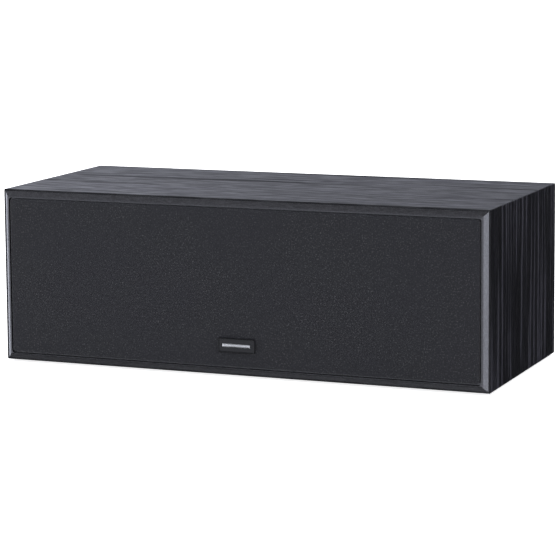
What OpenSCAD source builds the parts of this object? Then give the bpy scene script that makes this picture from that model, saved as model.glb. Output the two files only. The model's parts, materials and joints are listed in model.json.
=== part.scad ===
// Two-way center channel speaker for a shelf: two woofers beside a dome tweeter, behind a cloth grille.
// Z is up and the grille faces -Y. The origin is the middle of the footprint, at the pads' soles.

/* [Cabinet] */
// Outer width of the cabinet
body_w = 435; // [410:1:520]
// Outer height of the cabinet without its pads
body_h = 148; // [145:1:200]
// Depth from the front edge of the folded wrap to its back edge
body_d = 186; // [170:1:260]
// Thickness of the folded panels
wall = 12; // [9:0.5:16]
// Radius of the foil-covered long edges
edge_r = 0.8; // [0.4:0.1:2]
// Thickness of the rear panel
rear_t = 12; // [9:0.5:18]
// How far the rear panel lies inside the wrap's back edge
rear_inset = 3; // [2.6:0.1:5]
// Depth of the groove in the wrap that the rear panel sits in
rear_groove = 5; // [3:0.5:7]
// Clearance round boards that are glued into the wrap
board_fit = 0.1; // [0.05:0.05:0.3]

/* [Front baffle] */
// Thickness of the baffle inside the wrap
baffle_t = 15; // [13:0.5:22]
// Thickness of the baffle's flange over the wrap's front edge
flange_t = 1.2; // [1:0.1:1.6]
// Width of the bare wrap edge that shows round the baffle's rim
edge_show = 1.5; // [0.5:0.1:3]
// Straight start of the rim's edge
rim_land = 0.4; // [0.2:0.1:1]
// Leg of the rim's 45 degree chamfer
rim_chamfer = 2.8; // [1.5:0.1:4]
// Radius of the rim's nose
rim_nose = 3; // [1.5:0.1:5]
// Radius of the rim's inner corners
pocket_corner = 2.5; // [1.5:0.5:12]

/* [Grille] */
// Gap between the baffle's rim and the grille
grille_gap = 1.3; // [0.8:0.1:2.5]
// How far the cloth stands in front of the wrap's front edge
grille_rise = 4.6; // [4.2:0.1:6]
// Gap between the grille's back and the baffle
grille_seat_gap = 0.3; // [0.2:0.1:0.8]
// Thickness of the cloth
cloth_t = 0.6; // [0.4:0.1:0.8]
// Width of the cloth that is folded behind the frame
cloth_lap = 6; // [3:0.5:7]
// Radius of the grille's corners
grille_corner = 2.5; // [2:0.5:10]
// Radius of the frame's windows in front of the woofers
woofer_window_r = 51; // [48:0.5:56]
// Radius of the frame's window in front of the tweeter
tweeter_window_r = 33; // [28:0.5:42]
// Chamfer round the frame's windows
window_chamfer = 1.2; // [0.5:0.1:1.8]
// Radius of a grille peg
peg_r = 3.5; // [2.5:0.1:5]
// Length of a grille peg
peg_len = 9; // [6:0.5:11]
// Distance from the cabinet's ends to the pegs
peg_inset_x = 19; // [16:0.5:24]
// Distance from the cabinet's top and underside to the pegs
peg_inset_z = 19; // [16:0.5:24]
// Radial clearance of a peg in its cup
peg_fit = 0.05; // [0.02:0.01:0.1]
// Wall of a peg cup
peg_cup_wall = 1.5; // [1:0.1:2.5]
// Radius of a peg cup's collar
peg_collar_r = 7; // [6.5:0.1:9]
// Thickness of a peg cup's collar
peg_collar_t = 0.8; // [0.5:0.1:1.2]

/* [Badge] */
// Width of the badge
badge_w = 33; // [20:0.5:60]
// Height of the badge
badge_h = 12; // [8:0.5:20]
// Thickness of the badge
badge_t = 1.8; // [1.2:0.1:3]
// Height of the raised bar on the badge
badge_bar_h = 3.2; // [2:0.1:5]
// Length of the raised bar on the badge
badge_bar_w = 25; // [12:0.5:29]
// Depth of the step round the raised bar
badge_bar_t = 0.7; // [0.4:0.1:1]
// Width of the badge's raised border
badge_rim = 0.8; // [0.5:0.1:1.5]
// Radius of the badge's corners
badge_corner = 1.2; // [0.5:0.1:3]
// Height of the badge's middle above the cabinet's underside
badge_height = 26; // [18:0.5:30]
// Radius of the badge's two pins
badge_pin_r = 1; // [0.8:0.1:1.5]
// Distance between the badge's two pins
badge_pin_gap = 22; // [10:1:26]

/* [Drivers in the cabinet] */
// Distance from the woofers' flanges to the cabinet's ends
woofer_end_gap = 23.5; // [23:0.5:30]
// Distance from the woofers' flanges to the cabinet's top and underside
woofer_edge_gap = 15; // [15:0.5:20]
// Distance of each woofer's axis from the middle at the drivers' own size
woofer_x = 135; // [122:0.5:140]

/* [Woofers] */
// Radius of the woofer's flange
woofer_flange_r = 59; // [58:0.5:60]
// Radius of the baffle's woofer holes
woofer_hole_r = 50.5; // [50:0.5:52]
// Depth of the rebates that the drivers sit in
driver_rebate = 4; // [3.5:0.1:6]
// Radial clearance of a driver in its rebate
driver_fit = 0.4; // [0.2:0.1:1]
// Thickness of the basket's sheet steel
basket_t = 1.2; // [0.8:0.1:1.6]
// Depth of the basket from its flange to the top plate
basket_depth = 28; // [26:0.5:34]
// Radius of the basket's slope at the flange
basket_r = 45.5; // [45:0.5:47]
// Width of the six windows in the basket's slope
basket_window_w = 24; // [16:1:28]
// Depth of the ledge that carries the spider
spider_depth = 22; // [20:0.5:24]
// Radius of the spider
spider_r = 34; // [32:0.5:36]
// Thickness of the trim ring
ring_t = 3; // [2.4:0.1:4]
// Inner radius of the trim ring
ring_inner_r = 48.4; // [48:0.1:49.5]
// Outer radius of the surround's lip
lip_r = 51; // [50.2:0.1:52]
// Thickness of the surround
surround_t = 0.8; // [0.5:0.1:1]
// Outer radius of the surround's roll
roll_r = 47.4; // [46.5:0.1:48]
// Height of the surround's roll
roll_h = 4; // [3:0.1:5]
// Outer radius of the cone
cone_r = 38.8; // [37:0.1:40]
// Depth of the cone's edge below the flange's seat
cone_edge_depth = 3.2; // [2.5:0.1:4]
// Depth of the cone's neck below the flange's seat
cone_neck_depth = 16.8; // [15:0.1:18]
// Thickness of the cone
cone_t = 0.7; // [0.4:0.1:1]
// Radius of the dust cap
cap_r = 15; // [14.4:0.1:18]
// Height of the dust cap
cap_h = 4; // [3:0.1:6]
// Inner radius of the woofer's voice coil former
coil_r = 12.5; // [12.2:0.1:12.8]
// Thickness of the coil former
former_t = 0.4; // [0.3:0.1:0.5]
// Thickness of the coil's winding
winding_t = 0.6; // [0.4:0.1:0.8]
// Length of the coil's winding
winding_h = 9; // [7:0.5:11]
// Radial clearance of the coils in their gaps
coil_gap = 0.4; // [0.3:0.05:0.6]
// Radius of the woofer's steel plates
plate_r = 33; // [31:0.5:36]
// Thickness of the woofer's steel plates
plate_t = 4; // [3:0.5:6]
// Outer radius of the woofer's magnet
magnet_r = 35; // [32:0.5:38]
// Inner radius of the woofer's magnet
magnet_hole_r = 17; // [16:0.5:20]
// Thickness of the woofer's magnet
magnet_t = 13; // [12:0.5:16]
// Radius of the vent through the woofer's pole
vent_r = 2.5; // [1.5:0.5:4]

/* [Tweeter] */
// Radius of the tweeter's faceplate
faceplate_r = 47; // [45:0.5:48]
// Thickness of the tweeter's faceplate
faceplate_t = 4; // [3.5:0.1:5]
// Radius of the faceplate's flared mouth
mouth_r = 26; // [22:0.5:29]
// Radius of the faceplate's opening
throat_r = 16.2; // [16:0.1:17]
// Radius of the dome
dome_r = 12.7; // [12.6:0.1:13]
// Height of the dome
dome_h = 4.8; // [3.5:0.1:5]
// Thickness of the dome
dome_t = 0.4; // [0.3:0.1:0.5]
// Radius of the dome's flange
dome_flange_r = 19.3; // [18.5:0.1:20]
// Radius of the tweeter's plates and magnet
tweeter_magnet_r = 30; // [28:0.5:31]
// Thickness of the tweeter's magnet
tweeter_magnet_t = 8; // [6:0.5:10]
// Thickness of the tweeter's steel plates
tweeter_plate_t = 3; // [2.5:0.5:4]
// Radius of the baffle's tweeter hole
tweeter_hole_r = 32; // [31.5:0.5:34]

/* [Driver screws] */
// Radius of a driver screw's shank
screw_r = 1.75; // [1.5:0.05:2]
// Length of a driver screw's shank
screw_len = 12; // [8:0.5:12]
// Radius of a driver screw's head
screw_head_r = 3.3; // [3:0.1:3.6]
// Height of a driver screw's head
screw_head_h = 2; // [1.6:0.1:2.2]
// Radius of the circle of woofer screws
woofer_screw_circle = 55; // [54.5:0.1:55.4]
// Radius of the circle of tweeter screws
tweeter_screw_circle = 41; // [38:0.5:42]
// Clearance round screws and in other assembled joints
fit = 0.05; // [0.03:0.01:0.1]

/* [Reflex tube] */
// Distance of the reflex tube's axis from the middle
port_x = 105; // [95:0.5:120]
// Inner radius of the reflex tube
port_r = 20; // [15:0.5:21]
// Wall of the reflex tube
port_wall = 2; // [1.5:0.1:3]
// Length of the reflex tube
port_len = 90; // [70:1:95]
// Radius of the flare at the tube's mouth
port_flare = 7; // [4:0.5:8]
// Width of the flange round the mouth
port_flange_w = 7; // [5:0.5:10]
// Thickness of the flange
port_flange_t = 2.2; // [1.5:0.1:2.4]

/* [Terminal cup] */
// Distance of the terminal cup from the middle
cup_x = 95; // [80:0.5:110]
// Width of the cup's flange
cup_w = 92; // [84:0.5:100]
// Height of the cup's flange
cup_h = 64; // [60:0.5:72]
// Thickness of the cup's flange
cup_flange_t = 2.5; // [2.2:0.1:2.5]
// Width of the border round the cup's recess
cup_border = 10; // [9:0.5:12]
// Depth of the cup's recess
cup_depth = 18; // [15:0.5:22]
// Wall of the cup
cup_wall = 2.2; // [1.8:0.1:3]
// Distance between the two binding posts
post_gap = 19; // [17:0.05:26]
// Radius of a post's stem
post_r = 3; // [2.9:0.05:3.2]
// Length of a post's stem above the cup's floor
post_len = 14; // [12:0.5:15]
// Radius of the plug hole in a stem
plug_r = 2; // [1.95:0.05:2.1]
// Depth of the plug hole in a stem
plug_depth = 7.5; // [6:0.5:8]
// Radius of the cross hole for a bare wire
wire_r = 1.3; // [1:0.1:1.4]
// Radius of a post's cap
cap_knob_r = 7; // [6.6:0.1:8]
// Height of a post's cap
cap_knob_h = 12; // [11:0.5:14]
// Radius of the brass insert in a cap
insert_r = 5; // [4.6:0.1:5.4]
// Height of the brass insert in a cap
insert_h = 7; // [6:0.5:8]

/* [Crossover] */
// Width of the crossover board
board_w = 110; // [100:1:130]
// Depth of the crossover board
board_d = 76; // [70:1:90]
// Thickness of the crossover board
board_t = 1.6; // [1:0.1:2]
// Height of the spacers under the board
spacer_h = 6; // [4:0.5:10]
// Distance of the board's middle behind the origin
board_y = 28; // [20:1:35]
// Outer radius of the woofers' choke
choke_r = 19; // [15:0.5:21]
// Height of the woofers' choke
choke_h = 20; // [14:0.5:24]
// Outer radius of the tweeter's choke
small_choke_r = 12; // [9:0.5:13]
// Height of the tweeter's choke
small_choke_h = 13; // [10:0.5:18]
// Radius of the large capacitor
capacitor_r = 8; // [6:0.5:9]
// Length of the large capacitor
capacitor_l = 32; // [24:1:34]
// Radius of the small capacitor
small_capacitor_r = 5.5; // [4:0.5:6]
// Length of the small capacitor
small_capacitor_l = 24; // [18:1:26]
// Length of the resistor
resistor_l = 25; // [20:1:28]
// Height and width of the resistor
resistor_h = 9.5; // [8:0.5:10]

/* [Leads and wadding] */
// Radius of an inner lead
lead_r = 1.6; // [1:0.1:2]
// Thickness of the damping wadding
wadding_t = 18; // [10:0.5:20]

/* [Pads] */
// Radius of a rubber pad
pad_r = 7; // [5:0.5:10]
// Thickness of a rubber pad
pad_t = 2; // [1:0.1:4]
// Distance from the cabinet's edges to the pads' middles
pad_inset = 24; // [12:1:40]

/* [Hidden] */

$fn = 64;
// A cut reaches this far past the faces that it opens
over = 1;

front_reach = grille_rise + badge_t;
front_y = front_reach / 2 - body_d / 2;
back_y = front_y + body_d;
mid_z = pad_t + body_h / 2;
inner_w = body_w - 2 * wall;
inner_h = body_h - 2 * wall;
floor_z = pad_t + wall;

nose_w = rim_nose * sin(45);
rim_rise = rim_land + rim_chamfer + rim_nose * (1 - cos(45));
pocket_inset = edge_show + rim_chamfer + nose_w;
pocket_w = body_w - 2 * pocket_inset;
pocket_h = body_h - 2 * pocket_inset;
cloth_w = pocket_w - 2 * grille_gap;
cloth_h = pocket_h - 2 * grille_gap;
frame_w = cloth_w - 2 * cloth_t;
frame_h = cloth_h - 2 * cloth_t;
grille_back = flange_t + grille_seat_gap;
frame_front = grille_rise - cloth_t;
lap_front = grille_back + cloth_t;
peg_x = body_w / 2 - peg_inset_x;
peg_z = body_h / 2 - peg_inset_z;
peg_cup_r = peg_r + peg_fit + peg_cup_wall;
peg_cup_depth = peg_len + peg_cup_wall + 0.5;
badge_z = pad_t + badge_height - mid_z;

// The drivers' sizes and gaps are all times this scale, so that they fill the front of any cabinet
driver_scale = min(
  body_w / 2 / (woofer_x + woofer_flange_r + woofer_end_gap),
  body_h / 2 / (woofer_flange_r + woofer_edge_gap)
);
woofer_place = body_w / 2 - (woofer_flange_r + woofer_end_gap) * driver_scale;
seat_drop = driver_rebate - flange_t;
seat_y = front_y + seat_drop;
ring_top = basket_t + ring_t;
gap_centre = basket_depth + plate_t / 2;
former_bottom = gap_centre + winding_h / 2 + 0.5;
former_top = cone_neck_depth - 1.6;
seat_to_front = driver_rebate / driver_scale;
seat_to_back = (baffle_t - seat_drop) / driver_scale;
pole_r = coil_r - coil_gap;
plate_hole_r = coil_r + former_t + winding_t + coil_gap;
woofer_plate_back = basket_depth + plate_t;
woofer_magnet_back = woofer_plate_back + magnet_t;
woofer_back = woofer_magnet_back + plate_t;

// The tweeter's diaphragm is clamped just behind the plane of the faceplate's seat
dome_base = 0.5;
tweeter_plate_front = dome_base + 0.1;
tweeter_coil_r = dome_r - 0.35;
tweeter_former_t = 0.3;
tweeter_winding_t = 0.3;
tweeter_coil_h = 4;
tweeter_plate_back = tweeter_plate_front + tweeter_plate_t;
tweeter_magnet_back = tweeter_plate_back + tweeter_magnet_t;
tweeter_back = tweeter_magnet_back + tweeter_plate_t;
tweeter_pole_r = tweeter_coil_r - coil_gap;
tweeter_plate_hole_r = tweeter_coil_r + tweeter_former_t + tweeter_winding_t + coil_gap;

screw_seat_drop = screw_head_h + 0.3;
head_fit = 0.15;
// Bevel round the outer edges of the trim rings and the faceplate
plate_bevel = 0.6;
rear_out_y = back_y - rear_inset;
rear_in_y = rear_out_y - rear_t;
port_hole_r = port_r + port_flare + 0.3;
cup_pocket_w = cup_w - 2 * cup_border;
cup_pocket_h = cup_h - 2 * cup_border;
cup_outer_w = cup_pocket_w + 2 * cup_wall;
cup_outer_h = cup_pocket_h + 2 * cup_wall;
cup_corner = 8;
cup_floor_back = cup_depth + cup_wall;
cup_screw_x = cup_w / 2 - cup_border / 2;
cup_screw_z = cup_h / 2 - cup_border / 2;
post_base_r = 6.4;
post_base_t = 2;
wire_land = 0.35;
wire_height = post_base_t + wire_r + wire_land;
cap_start = wire_height + wire_r + wire_land;
insert_lift = 0.3;
tail_r = 2.5;
tail_len = 8;
nut_t = 3.2;
nut_across = 8;

board_z = floor_z + spacer_h;
board_top = board_z + board_t;
spacer_r = 3.5;
board_hole_inset = 6;
small_screw_r = 1.4;
small_head_r = 2.8;
small_head_h = 1.6;
small_screw_grip = 8;

// Terminals: a lead ends between the two tabs
tab_w = 4.8;
tab_t = 0.8;
tab_place = lead_r + 0.5 + tab_w / 2;
tab_reach = 50;
strip_w = 2 * tab_place + tab_w + 1;
strip_t = 1.6;
strip_in = spider_r - 3;
strip_out = spider_r + 7;
strip_middle = spider_depth + 0.1 + strip_t / 2;
tweeter_block_w = strip_w;
tweeter_block_h = 5;
tweeter_block_t = 8;
tweeter_tab_l = 9;
tweeter_block_in = tweeter_magnet_r + 1.2;

// Plain rectangle with round corners
module soft_rect(w, h, r) {
  square([w - 2 * r, h], center = true);
  square([w, h - 2 * r], center = true);
  for (x = [-1, 1], y = [-1, 1])
    translate([x * (w / 2 - r), y * (h / 2 - r)]) circle(r);
}

function unit(v) = v / norm(v);
function left_of(a, b) = let (d = unit(b - a)) [-d[1], d[0]];

// Point i of a path, moved by t to the left of the path with its corners mitred
function moved_point(path, i, t) =
  let (
    last = len(path) - 1,
    before = left_of(path[max(i - 1, 0)], path[max(i, 1)]),
    after = left_of(path[min(i, last - 1)], path[min(i + 1, last)]),
    mitre = unit(before + after)
  )
  path[i] + mitre * t / (mitre * before);

// Outline of a sheet of thickness t that lies to the left of its path
function sheet(path, t) = concat(path, [for (i = [len(path) - 1 : -1 : 0]) moved_point(path, i, t)]);

// Turned sheet: the path runs outwards from the axis, and its thickness lies in front of it
module turned_sheet(path, t) {
  rotate_extrude($fn = 96) polygon(sheet(path, t));
}

module ring(outer, inner, h) {
  difference() {
    cylinder(r = outer, h = h, $fn = 96);
    translate([0, 0, -over]) cylinder(r = inner, h = h + 2 * over, $fn = 96);
  }
}

// Places a driver's part with its Z axis pointing forwards, on the plane where the drivers seat
module on_seat(x) {
  translate([x, seat_y, mid_z]) rotate([90, 0, 0]) scale(driver_scale) children();
}

// Places a child with its Z axis pointing forwards, on the plane of the wrap's front edge
module on_front() {
  translate([0, front_y, mid_z]) rotate([90, 0, 0]) children();
}

// Places a child with its Z axis pointing backwards, on the outer face of the rear panel
module on_rear(x) {
  translate([x, rear_out_y, mid_z]) rotate([90, 0, 180]) children();
}

module corners(x, y) {
  for (i = [-1, 1], j = [-1, 1])
    translate([i * x, j * y, 0]) children();
}

// Cabinet

module cabinet_wrap() {
  color("#3a3a3d") difference() {
    translate([0, front_y, mid_z]) rotate([-90, 0, 0])
      linear_extrude(body_d) soft_rect(body_w, body_h, edge_r);
    translate([-inner_w / 2, front_y - over, floor_z]) cube([inner_w, body_d + 2 * over, inner_h]);
    translate([-inner_w / 2 - rear_groove, rear_in_y, floor_z - rear_groove])
      cube([inner_w + 2 * rear_groove, body_d, inner_h + 2 * rear_groove]);
  }
}

// Section of the moulded rim across a length: straight land, 45 degree chamfer, round nose
module rim_section(length) {
  half = length / 2 - edge_show;
  shoulder = half - rim_chamfer;
  crown = shoulder - nose_w;
  polygon([
    [-half, 0], [-half, -rim_land], [-shoulder, -rim_land - rim_chamfer], [-crown, -rim_rise],
    [crown, -rim_rise], [shoulder, -rim_land - rim_chamfer], [half, -rim_land], [half, 0]
  ]);
  intersection() {
    for (side = [-1, 1])
      translate([side * crown, rim_nose - rim_rise]) circle(rim_nose);
    translate([-half, -rim_rise]) square([2 * half, rim_rise]);
  }
}

// Two runs of the same section cross at right angles, so the rim's corners are mitred
module moulded_front() {
  translate([0, front_y, mid_z]) intersection() {
    linear_extrude(body_h, center = true) rim_section(body_w);
    rotate([0, 90, 0]) linear_extrude(body_w, center = true) rim_section(body_h);
  }
}

module driver_screw_places(circle_r) {
  for (a = [45 : 90 : 315])
    rotate(a) translate([circle_r, 0, 0]) children();
}

module driver_hole(flange_r, hole_r, screw_circle) {
  cylinder(r = flange_r + driver_fit, h = seat_to_front + over, $fn = 96);
  translate([0, 0, -seat_to_back - over])
    cylinder(r = hole_r, h = seat_to_back + 2 * over, $fn = 96);
  driver_screw_places(screw_circle)
    translate([0, 0, -screw_len]) cylinder(r = screw_r + fit, h = screw_len + over);
}

module front_baffle() {
  color("#2b2b2e") difference() {
    union() {
      moulded_front();
      translate([0, front_y + baffle_t / 2, mid_z])
        cube([inner_w - 2 * board_fit, baffle_t, inner_h - 2 * board_fit], center = true);
    }
    on_front() {
      translate([0, 0, flange_t]) linear_extrude(rim_rise) soft_rect(pocket_w, pocket_h, pocket_corner);
      corners(peg_x, peg_z) {
        translate([0, 0, flange_t - peg_collar_t]) cylinder(r = peg_collar_r + fit, h = rim_rise);
        translate([0, 0, -baffle_t - over]) cylinder(r = peg_cup_r + fit, h = baffle_t + rim_rise);
      }
    }
    for (side = [-1, 1])
      on_seat(side * woofer_place) driver_hole(woofer_flange_r, woofer_hole_r, woofer_screw_circle);
    on_seat(0) {
      driver_hole(faceplate_r, tweeter_hole_r, tweeter_screw_circle);
      notch_w = tweeter_block_w + 2 * over;
      translate([-notch_w / 2, 0, -seat_to_back - over])
        cube([notch_w, tweeter_block_in + tweeter_block_h + over, seat_to_back + 2 * over]);
    }
  }
}

module rear_panel() {
  w = inner_w + 2 * (rear_groove - board_fit);
  h = inner_h + 2 * (rear_groove - board_fit);
  color("#262628") difference() {
    translate([-w / 2, rear_in_y, mid_z - h / 2]) cube([w, rear_t, h]);
    on_rear(-port_x) translate([0, 0, -rear_t - over])
      cylinder(r = port_hole_r, h = rear_t + 2 * over, $fn = 96);
    on_rear(cup_x) {
      translate([0, 0, -rear_t - over]) linear_extrude(rear_t + 2 * over)
        soft_rect(cup_outer_w + 2 * board_fit, cup_outer_h + 2 * board_fit, cup_corner + cup_wall);
      corners(cup_screw_x, cup_screw_z)
        translate([0, 0, -rear_t + over]) cylinder(r = small_screw_r + fit, h = rear_t);
    }
  }
}

module foot_pads() {
  color("#151515") for (x = [-1, 1], y = [front_y + pad_inset, back_y - pad_inset])
    translate([x * (body_w / 2 - pad_inset), y, 0]) cylinder(r = pad_r, h = pad_t);
}

// Grille

module badge_pin_holes() {
  translate([0, badge_z, 0]) for (side = [-1, 1])
    translate([side * badge_pin_gap / 2, 0, 0])
      cylinder(r = badge_pin_r + fit, h = grille_rise + over, $fn = 24);
}

// Round window with a chamfer at its front edge
module grille_window(r) {
  cylinder(r = r, h = grille_rise, $fn = 96);
  translate([0, 0, frame_front - window_chamfer])
    cylinder(r1 = r, r2 = r + window_chamfer + over, h = window_chamfer + over, $fn = 96);
}

// The frame's back edge is rebated for the folded cloth
module grille_frame() {
  color("#1c1c1e") on_front() {
    difference() {
      translate([0, 0, grille_back]) linear_extrude(frame_front - grille_back)
        soft_rect(frame_w, frame_h, grille_corner - cloth_t);
      difference() {
        translate([0, 0, -over]) linear_extrude(lap_front + fit + over)
          square([body_w, body_h], center = true);
        translate([0, 0, -over]) linear_extrude(grille_rise)
          soft_rect(frame_w - 2 * (cloth_lap + fit), frame_h - 2 * (cloth_lap + fit), grille_corner);
      }
      for (side = [-1, 1])
        translate([side * woofer_place, 0, 0]) grille_window(woofer_window_r * driver_scale);
      grille_window(tweeter_window_r * driver_scale);
      badge_pin_holes();
    }
    corners(peg_x, peg_z) translate([0, 0, flange_t - peg_len])
      cylinder(r = peg_r, h = peg_len + grille_seat_gap + (frame_front - grille_back) / 2);
  }
}

module grille_cloth() {
  color("#2f3033") on_front() difference() {
    translate([0, 0, grille_back]) linear_extrude(grille_rise - grille_back)
      soft_rect(cloth_w, cloth_h, grille_corner);
    translate([0, 0, lap_front]) linear_extrude(frame_front - lap_front)
      soft_rect(frame_w + 2 * fit, frame_h + 2 * fit, grille_corner - cloth_t);
    linear_extrude(frame_front)
      soft_rect(frame_w - 2 * cloth_lap, frame_h - 2 * cloth_lap, grille_corner);
    badge_pin_holes();
  }
}

module badge() {
  color("#101012") on_front() translate([0, badge_z, grille_rise]) {
    linear_extrude(badge_t - badge_bar_t) soft_rect(badge_w, badge_h, badge_corner);
    linear_extrude(badge_t) difference() {
      soft_rect(badge_w, badge_h, badge_corner);
      soft_rect(badge_w - 2 * badge_rim, badge_h - 2 * badge_rim, badge_corner * 2 / 3);
    }
    linear_extrude(badge_t) soft_rect(badge_bar_w, badge_bar_h, badge_corner / 2);
    for (side = [-1, 1])
      translate([side * badge_pin_gap / 2, 0, grille_back - grille_rise])
        cylinder(r = badge_pin_r, h = grille_rise - grille_back + badge_bar_t, $fn = 24);
  }
}

module peg_cups() {
  color("#0e0e0e") on_front() corners(peg_x, peg_z) translate([0, 0, flange_t]) difference() {
    union() {
      translate([0, 0, -peg_collar_t]) cylinder(r = peg_collar_r, h = peg_collar_t);
      translate([0, 0, -peg_cup_depth]) cylinder(r = peg_cup_r, h = peg_cup_depth);
    }
    translate([0, 0, peg_cup_wall - peg_cup_depth]) cylinder(r = peg_r + peg_fit, h = peg_cup_depth);
  }
}

// Woofers

// The cone's back face at radius r: steep at the neck, where a short collar holds the coil, flatter outwards
cone_bow = 0.3;
cone_collar = 2;
function cone_share(r) = (r - coil_r - former_t) / (cone_r - coil_r - former_t);
function cone_rise(s) = (1 + cone_bow) * s - cone_bow * s * s;
function cone_z(r) = -cone_neck_depth + (cone_neck_depth - cone_edge_depth) * cone_rise(cone_share(r));
cone_neck_r = coil_r + former_t + 0.1 + cone_t;
cone_path = concat(
  [[cone_neck_r, cone_z(cone_neck_r) - cone_collar]],
  [for (i = [0 : 6]) let (r = cone_neck_r + (cone_r - cone_neck_r) * i / 6) [r, cone_z(r)]]
);

// Lip on the cone's edge, half roll, lip on the flange
glue_gap = 0.3;
cone_lip_w = 3;
cone_lip_inset = 0.4;
roll_steps = 12;
roll_start = [cone_r + 0.6, cone_z(cone_r) + cone_t + glue_gap + 0.2];
roll_end = [roll_r, basket_t + 0.1];
roll_span = roll_end - roll_start;
cone_lip_r = cone_r - cone_lip_inset;
surround_path = concat(
  [for (r = [cone_lip_r - cone_lip_w, cone_lip_r]) [r, cone_z(r) + cone_t + glue_gap]],
  [for (i = [0 : roll_steps]) let (a = 180 * i / roll_steps)
    roll_start + [roll_span[0] * (1 - cos(a)) / 2, roll_span[1] * a / 180 + roll_h * sin(a)]],
  [[lip_r, roll_end[1]]]
);

// From the hole round the coil over the ledge for the spider and up the slope to the flange
ledge_in = spider_r - 3.6;
ledge_out = spider_r + 1.6;
slope_foot = 1.5;
basket_path = [
  [plate_hole_r + 1.6, -basket_depth], [ledge_in - 0.4, -basket_depth], [ledge_in, -spider_depth],
  [ledge_out, -spider_depth], [basket_r, -slope_foot], [basket_r + slope_foot, 0], [woofer_flange_r, 0]
];

// Flat hems at both edges and waves between them
spider_z = -spider_depth + basket_t + fit;
spider_t = 0.5;
spider_hem = 1;
spider_in = coil_r + former_t + glue_gap;
spider_out = spider_r - 6;
spider_waves = 4;
spider_wave_h = 1.1;
spider_steps = 4 * spider_waves;
spider_path = concat(
  [[spider_in, spider_z]],
  [for (i = [0 : spider_steps]) let (u = i / spider_steps, r0 = spider_in + spider_hem)
    [r0 + (spider_out - r0) * u, spider_z + spider_wave_h * sin(360 * spider_waves * u)]],
  [[spider_r, spider_z]]
);

dust_cap_t = 0.5;
dust_cap_z = cone_z(cap_r) + cone_t + glue_gap / 2;
dust_cap_path = [for (i = [0 : 8]) let (u = i / 8) [cap_r * u, dust_cap_z + cap_h * (1 - u * u)]];

module basket() {
  color("#4c4d50") difference() {
    turned_sheet(basket_path, basket_t);
    for (a = [0 : 60 : 300])
      rotate(a) translate([ledge_out, -basket_window_w / 2, 4 - spider_depth])
        cube([basket_r, basket_window_w, spider_depth - 7]);
    driver_screw_places(woofer_screw_circle) translate([0, 0, -over])
      cylinder(r = screw_r + fit, h = 2 * over + basket_t);
  }
}

// The ring's underside is rebated for the surround's lip, and its inner edge is bevelled
module trim_ring() {
  lip_top = roll_end[1] + surround_t + 0.1;
  rebate_r = lip_r + 0.1;
  color("#17171a") difference() {
    rotate_extrude($fn = 96) polygon([
      [rebate_r, basket_t], [woofer_flange_r, basket_t], [woofer_flange_r, ring_top - plate_bevel],
      [woofer_flange_r - plate_bevel, ring_top], [ring_inner_r + 1.4, ring_top],
      [ring_inner_r, ring_top - 1.2], [ring_inner_r, lip_top], [rebate_r, lip_top]
    ]);
    driver_screw_places(woofer_screw_circle) {
      translate([0, 0, ring_top - screw_seat_drop]) cylinder(r = screw_head_r + head_fit, h = ring_t);
      cylinder(r = screw_r + fit, h = ring_top);
    }
  }
}

module surround() {
  color("#111112") turned_sheet(surround_path, surround_t);
}

module cone() {
  color("#2a2a2c") turned_sheet(cone_path, cone_t);
}

module dust_cap() {
  color("#232325") turned_sheet(dust_cap_path, dust_cap_t);
}

module spider() {
  color("#b08a3c") turned_sheet(spider_path, spider_t);
}

// The winding starts inside the former's wall, so that the two are one solid
module voice_coil() {
  outer = coil_r + former_t;
  color("#b5651d") {
    translate([0, 0, -former_bottom]) ring(outer, coil_r, former_bottom - former_top);
    translate([0, 0, -gap_centre - winding_h / 2]) ring(outer + winding_t, coil_r + former_t / 2, winding_h);
  }
}

module top_plate() {
  color("#8a8c90") translate([0, 0, -woofer_plate_back]) ring(plate_r, plate_hole_r, plate_t);
}

module magnet() {
  color("#2e2f31") translate([0, 0, -woofer_magnet_back]) ring(magnet_r, magnet_hole_r, magnet_t);
}

module pole_plate() {
  color("#8a8c90") translate([0, 0, -woofer_back]) difference() {
    union() {
      cylinder(r = plate_r, h = plate_t, $fn = 96);
      cylinder(r = pole_r, h = woofer_back - basket_depth + 0.5, $fn = 96);
    }
    translate([0, 0, -over]) cylinder(r = vent_r, h = woofer_back);
  }
}

// Strip under the basket's ledge with two tabs that point to the middle of the cabinet
module terminal_strip() {
  translate([strip_in, -strip_w / 2, -strip_middle - strip_t / 2])
    cube([strip_out - strip_in, strip_w, strip_t]);
  for (side = [-1, 1])
    translate([spider_r, side * tab_place - tab_w / 2, -strip_middle - tab_t / 2])
      cube([tab_reach - spider_r, tab_w, tab_t]);
}

module woofer_terminals() {
  color("#b8974a") {
    on_seat(-woofer_place) terminal_strip();
    on_seat(woofer_place) rotate(180) terminal_strip();
  }
}

// Tweeter

// Cap, half roll and flat flange, all moulded from one sheet
dome_roll_in = dome_r + 0.3;
dome_roll_w = 2.5;
dome_roll_h = 1.1;
dome_path = concat(
  [for (i = [0 : 8]) let (u = i / 8) [dome_r * u, dome_h * (1 - u * u) - dome_base]],
  [for (i = [0 : 6]) let (u = i / 6)
    [dome_roll_in + dome_roll_w * u, dome_roll_h * sin(180 * u) - dome_base]],
  [[dome_flange_r, -dome_base]]
);

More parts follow.
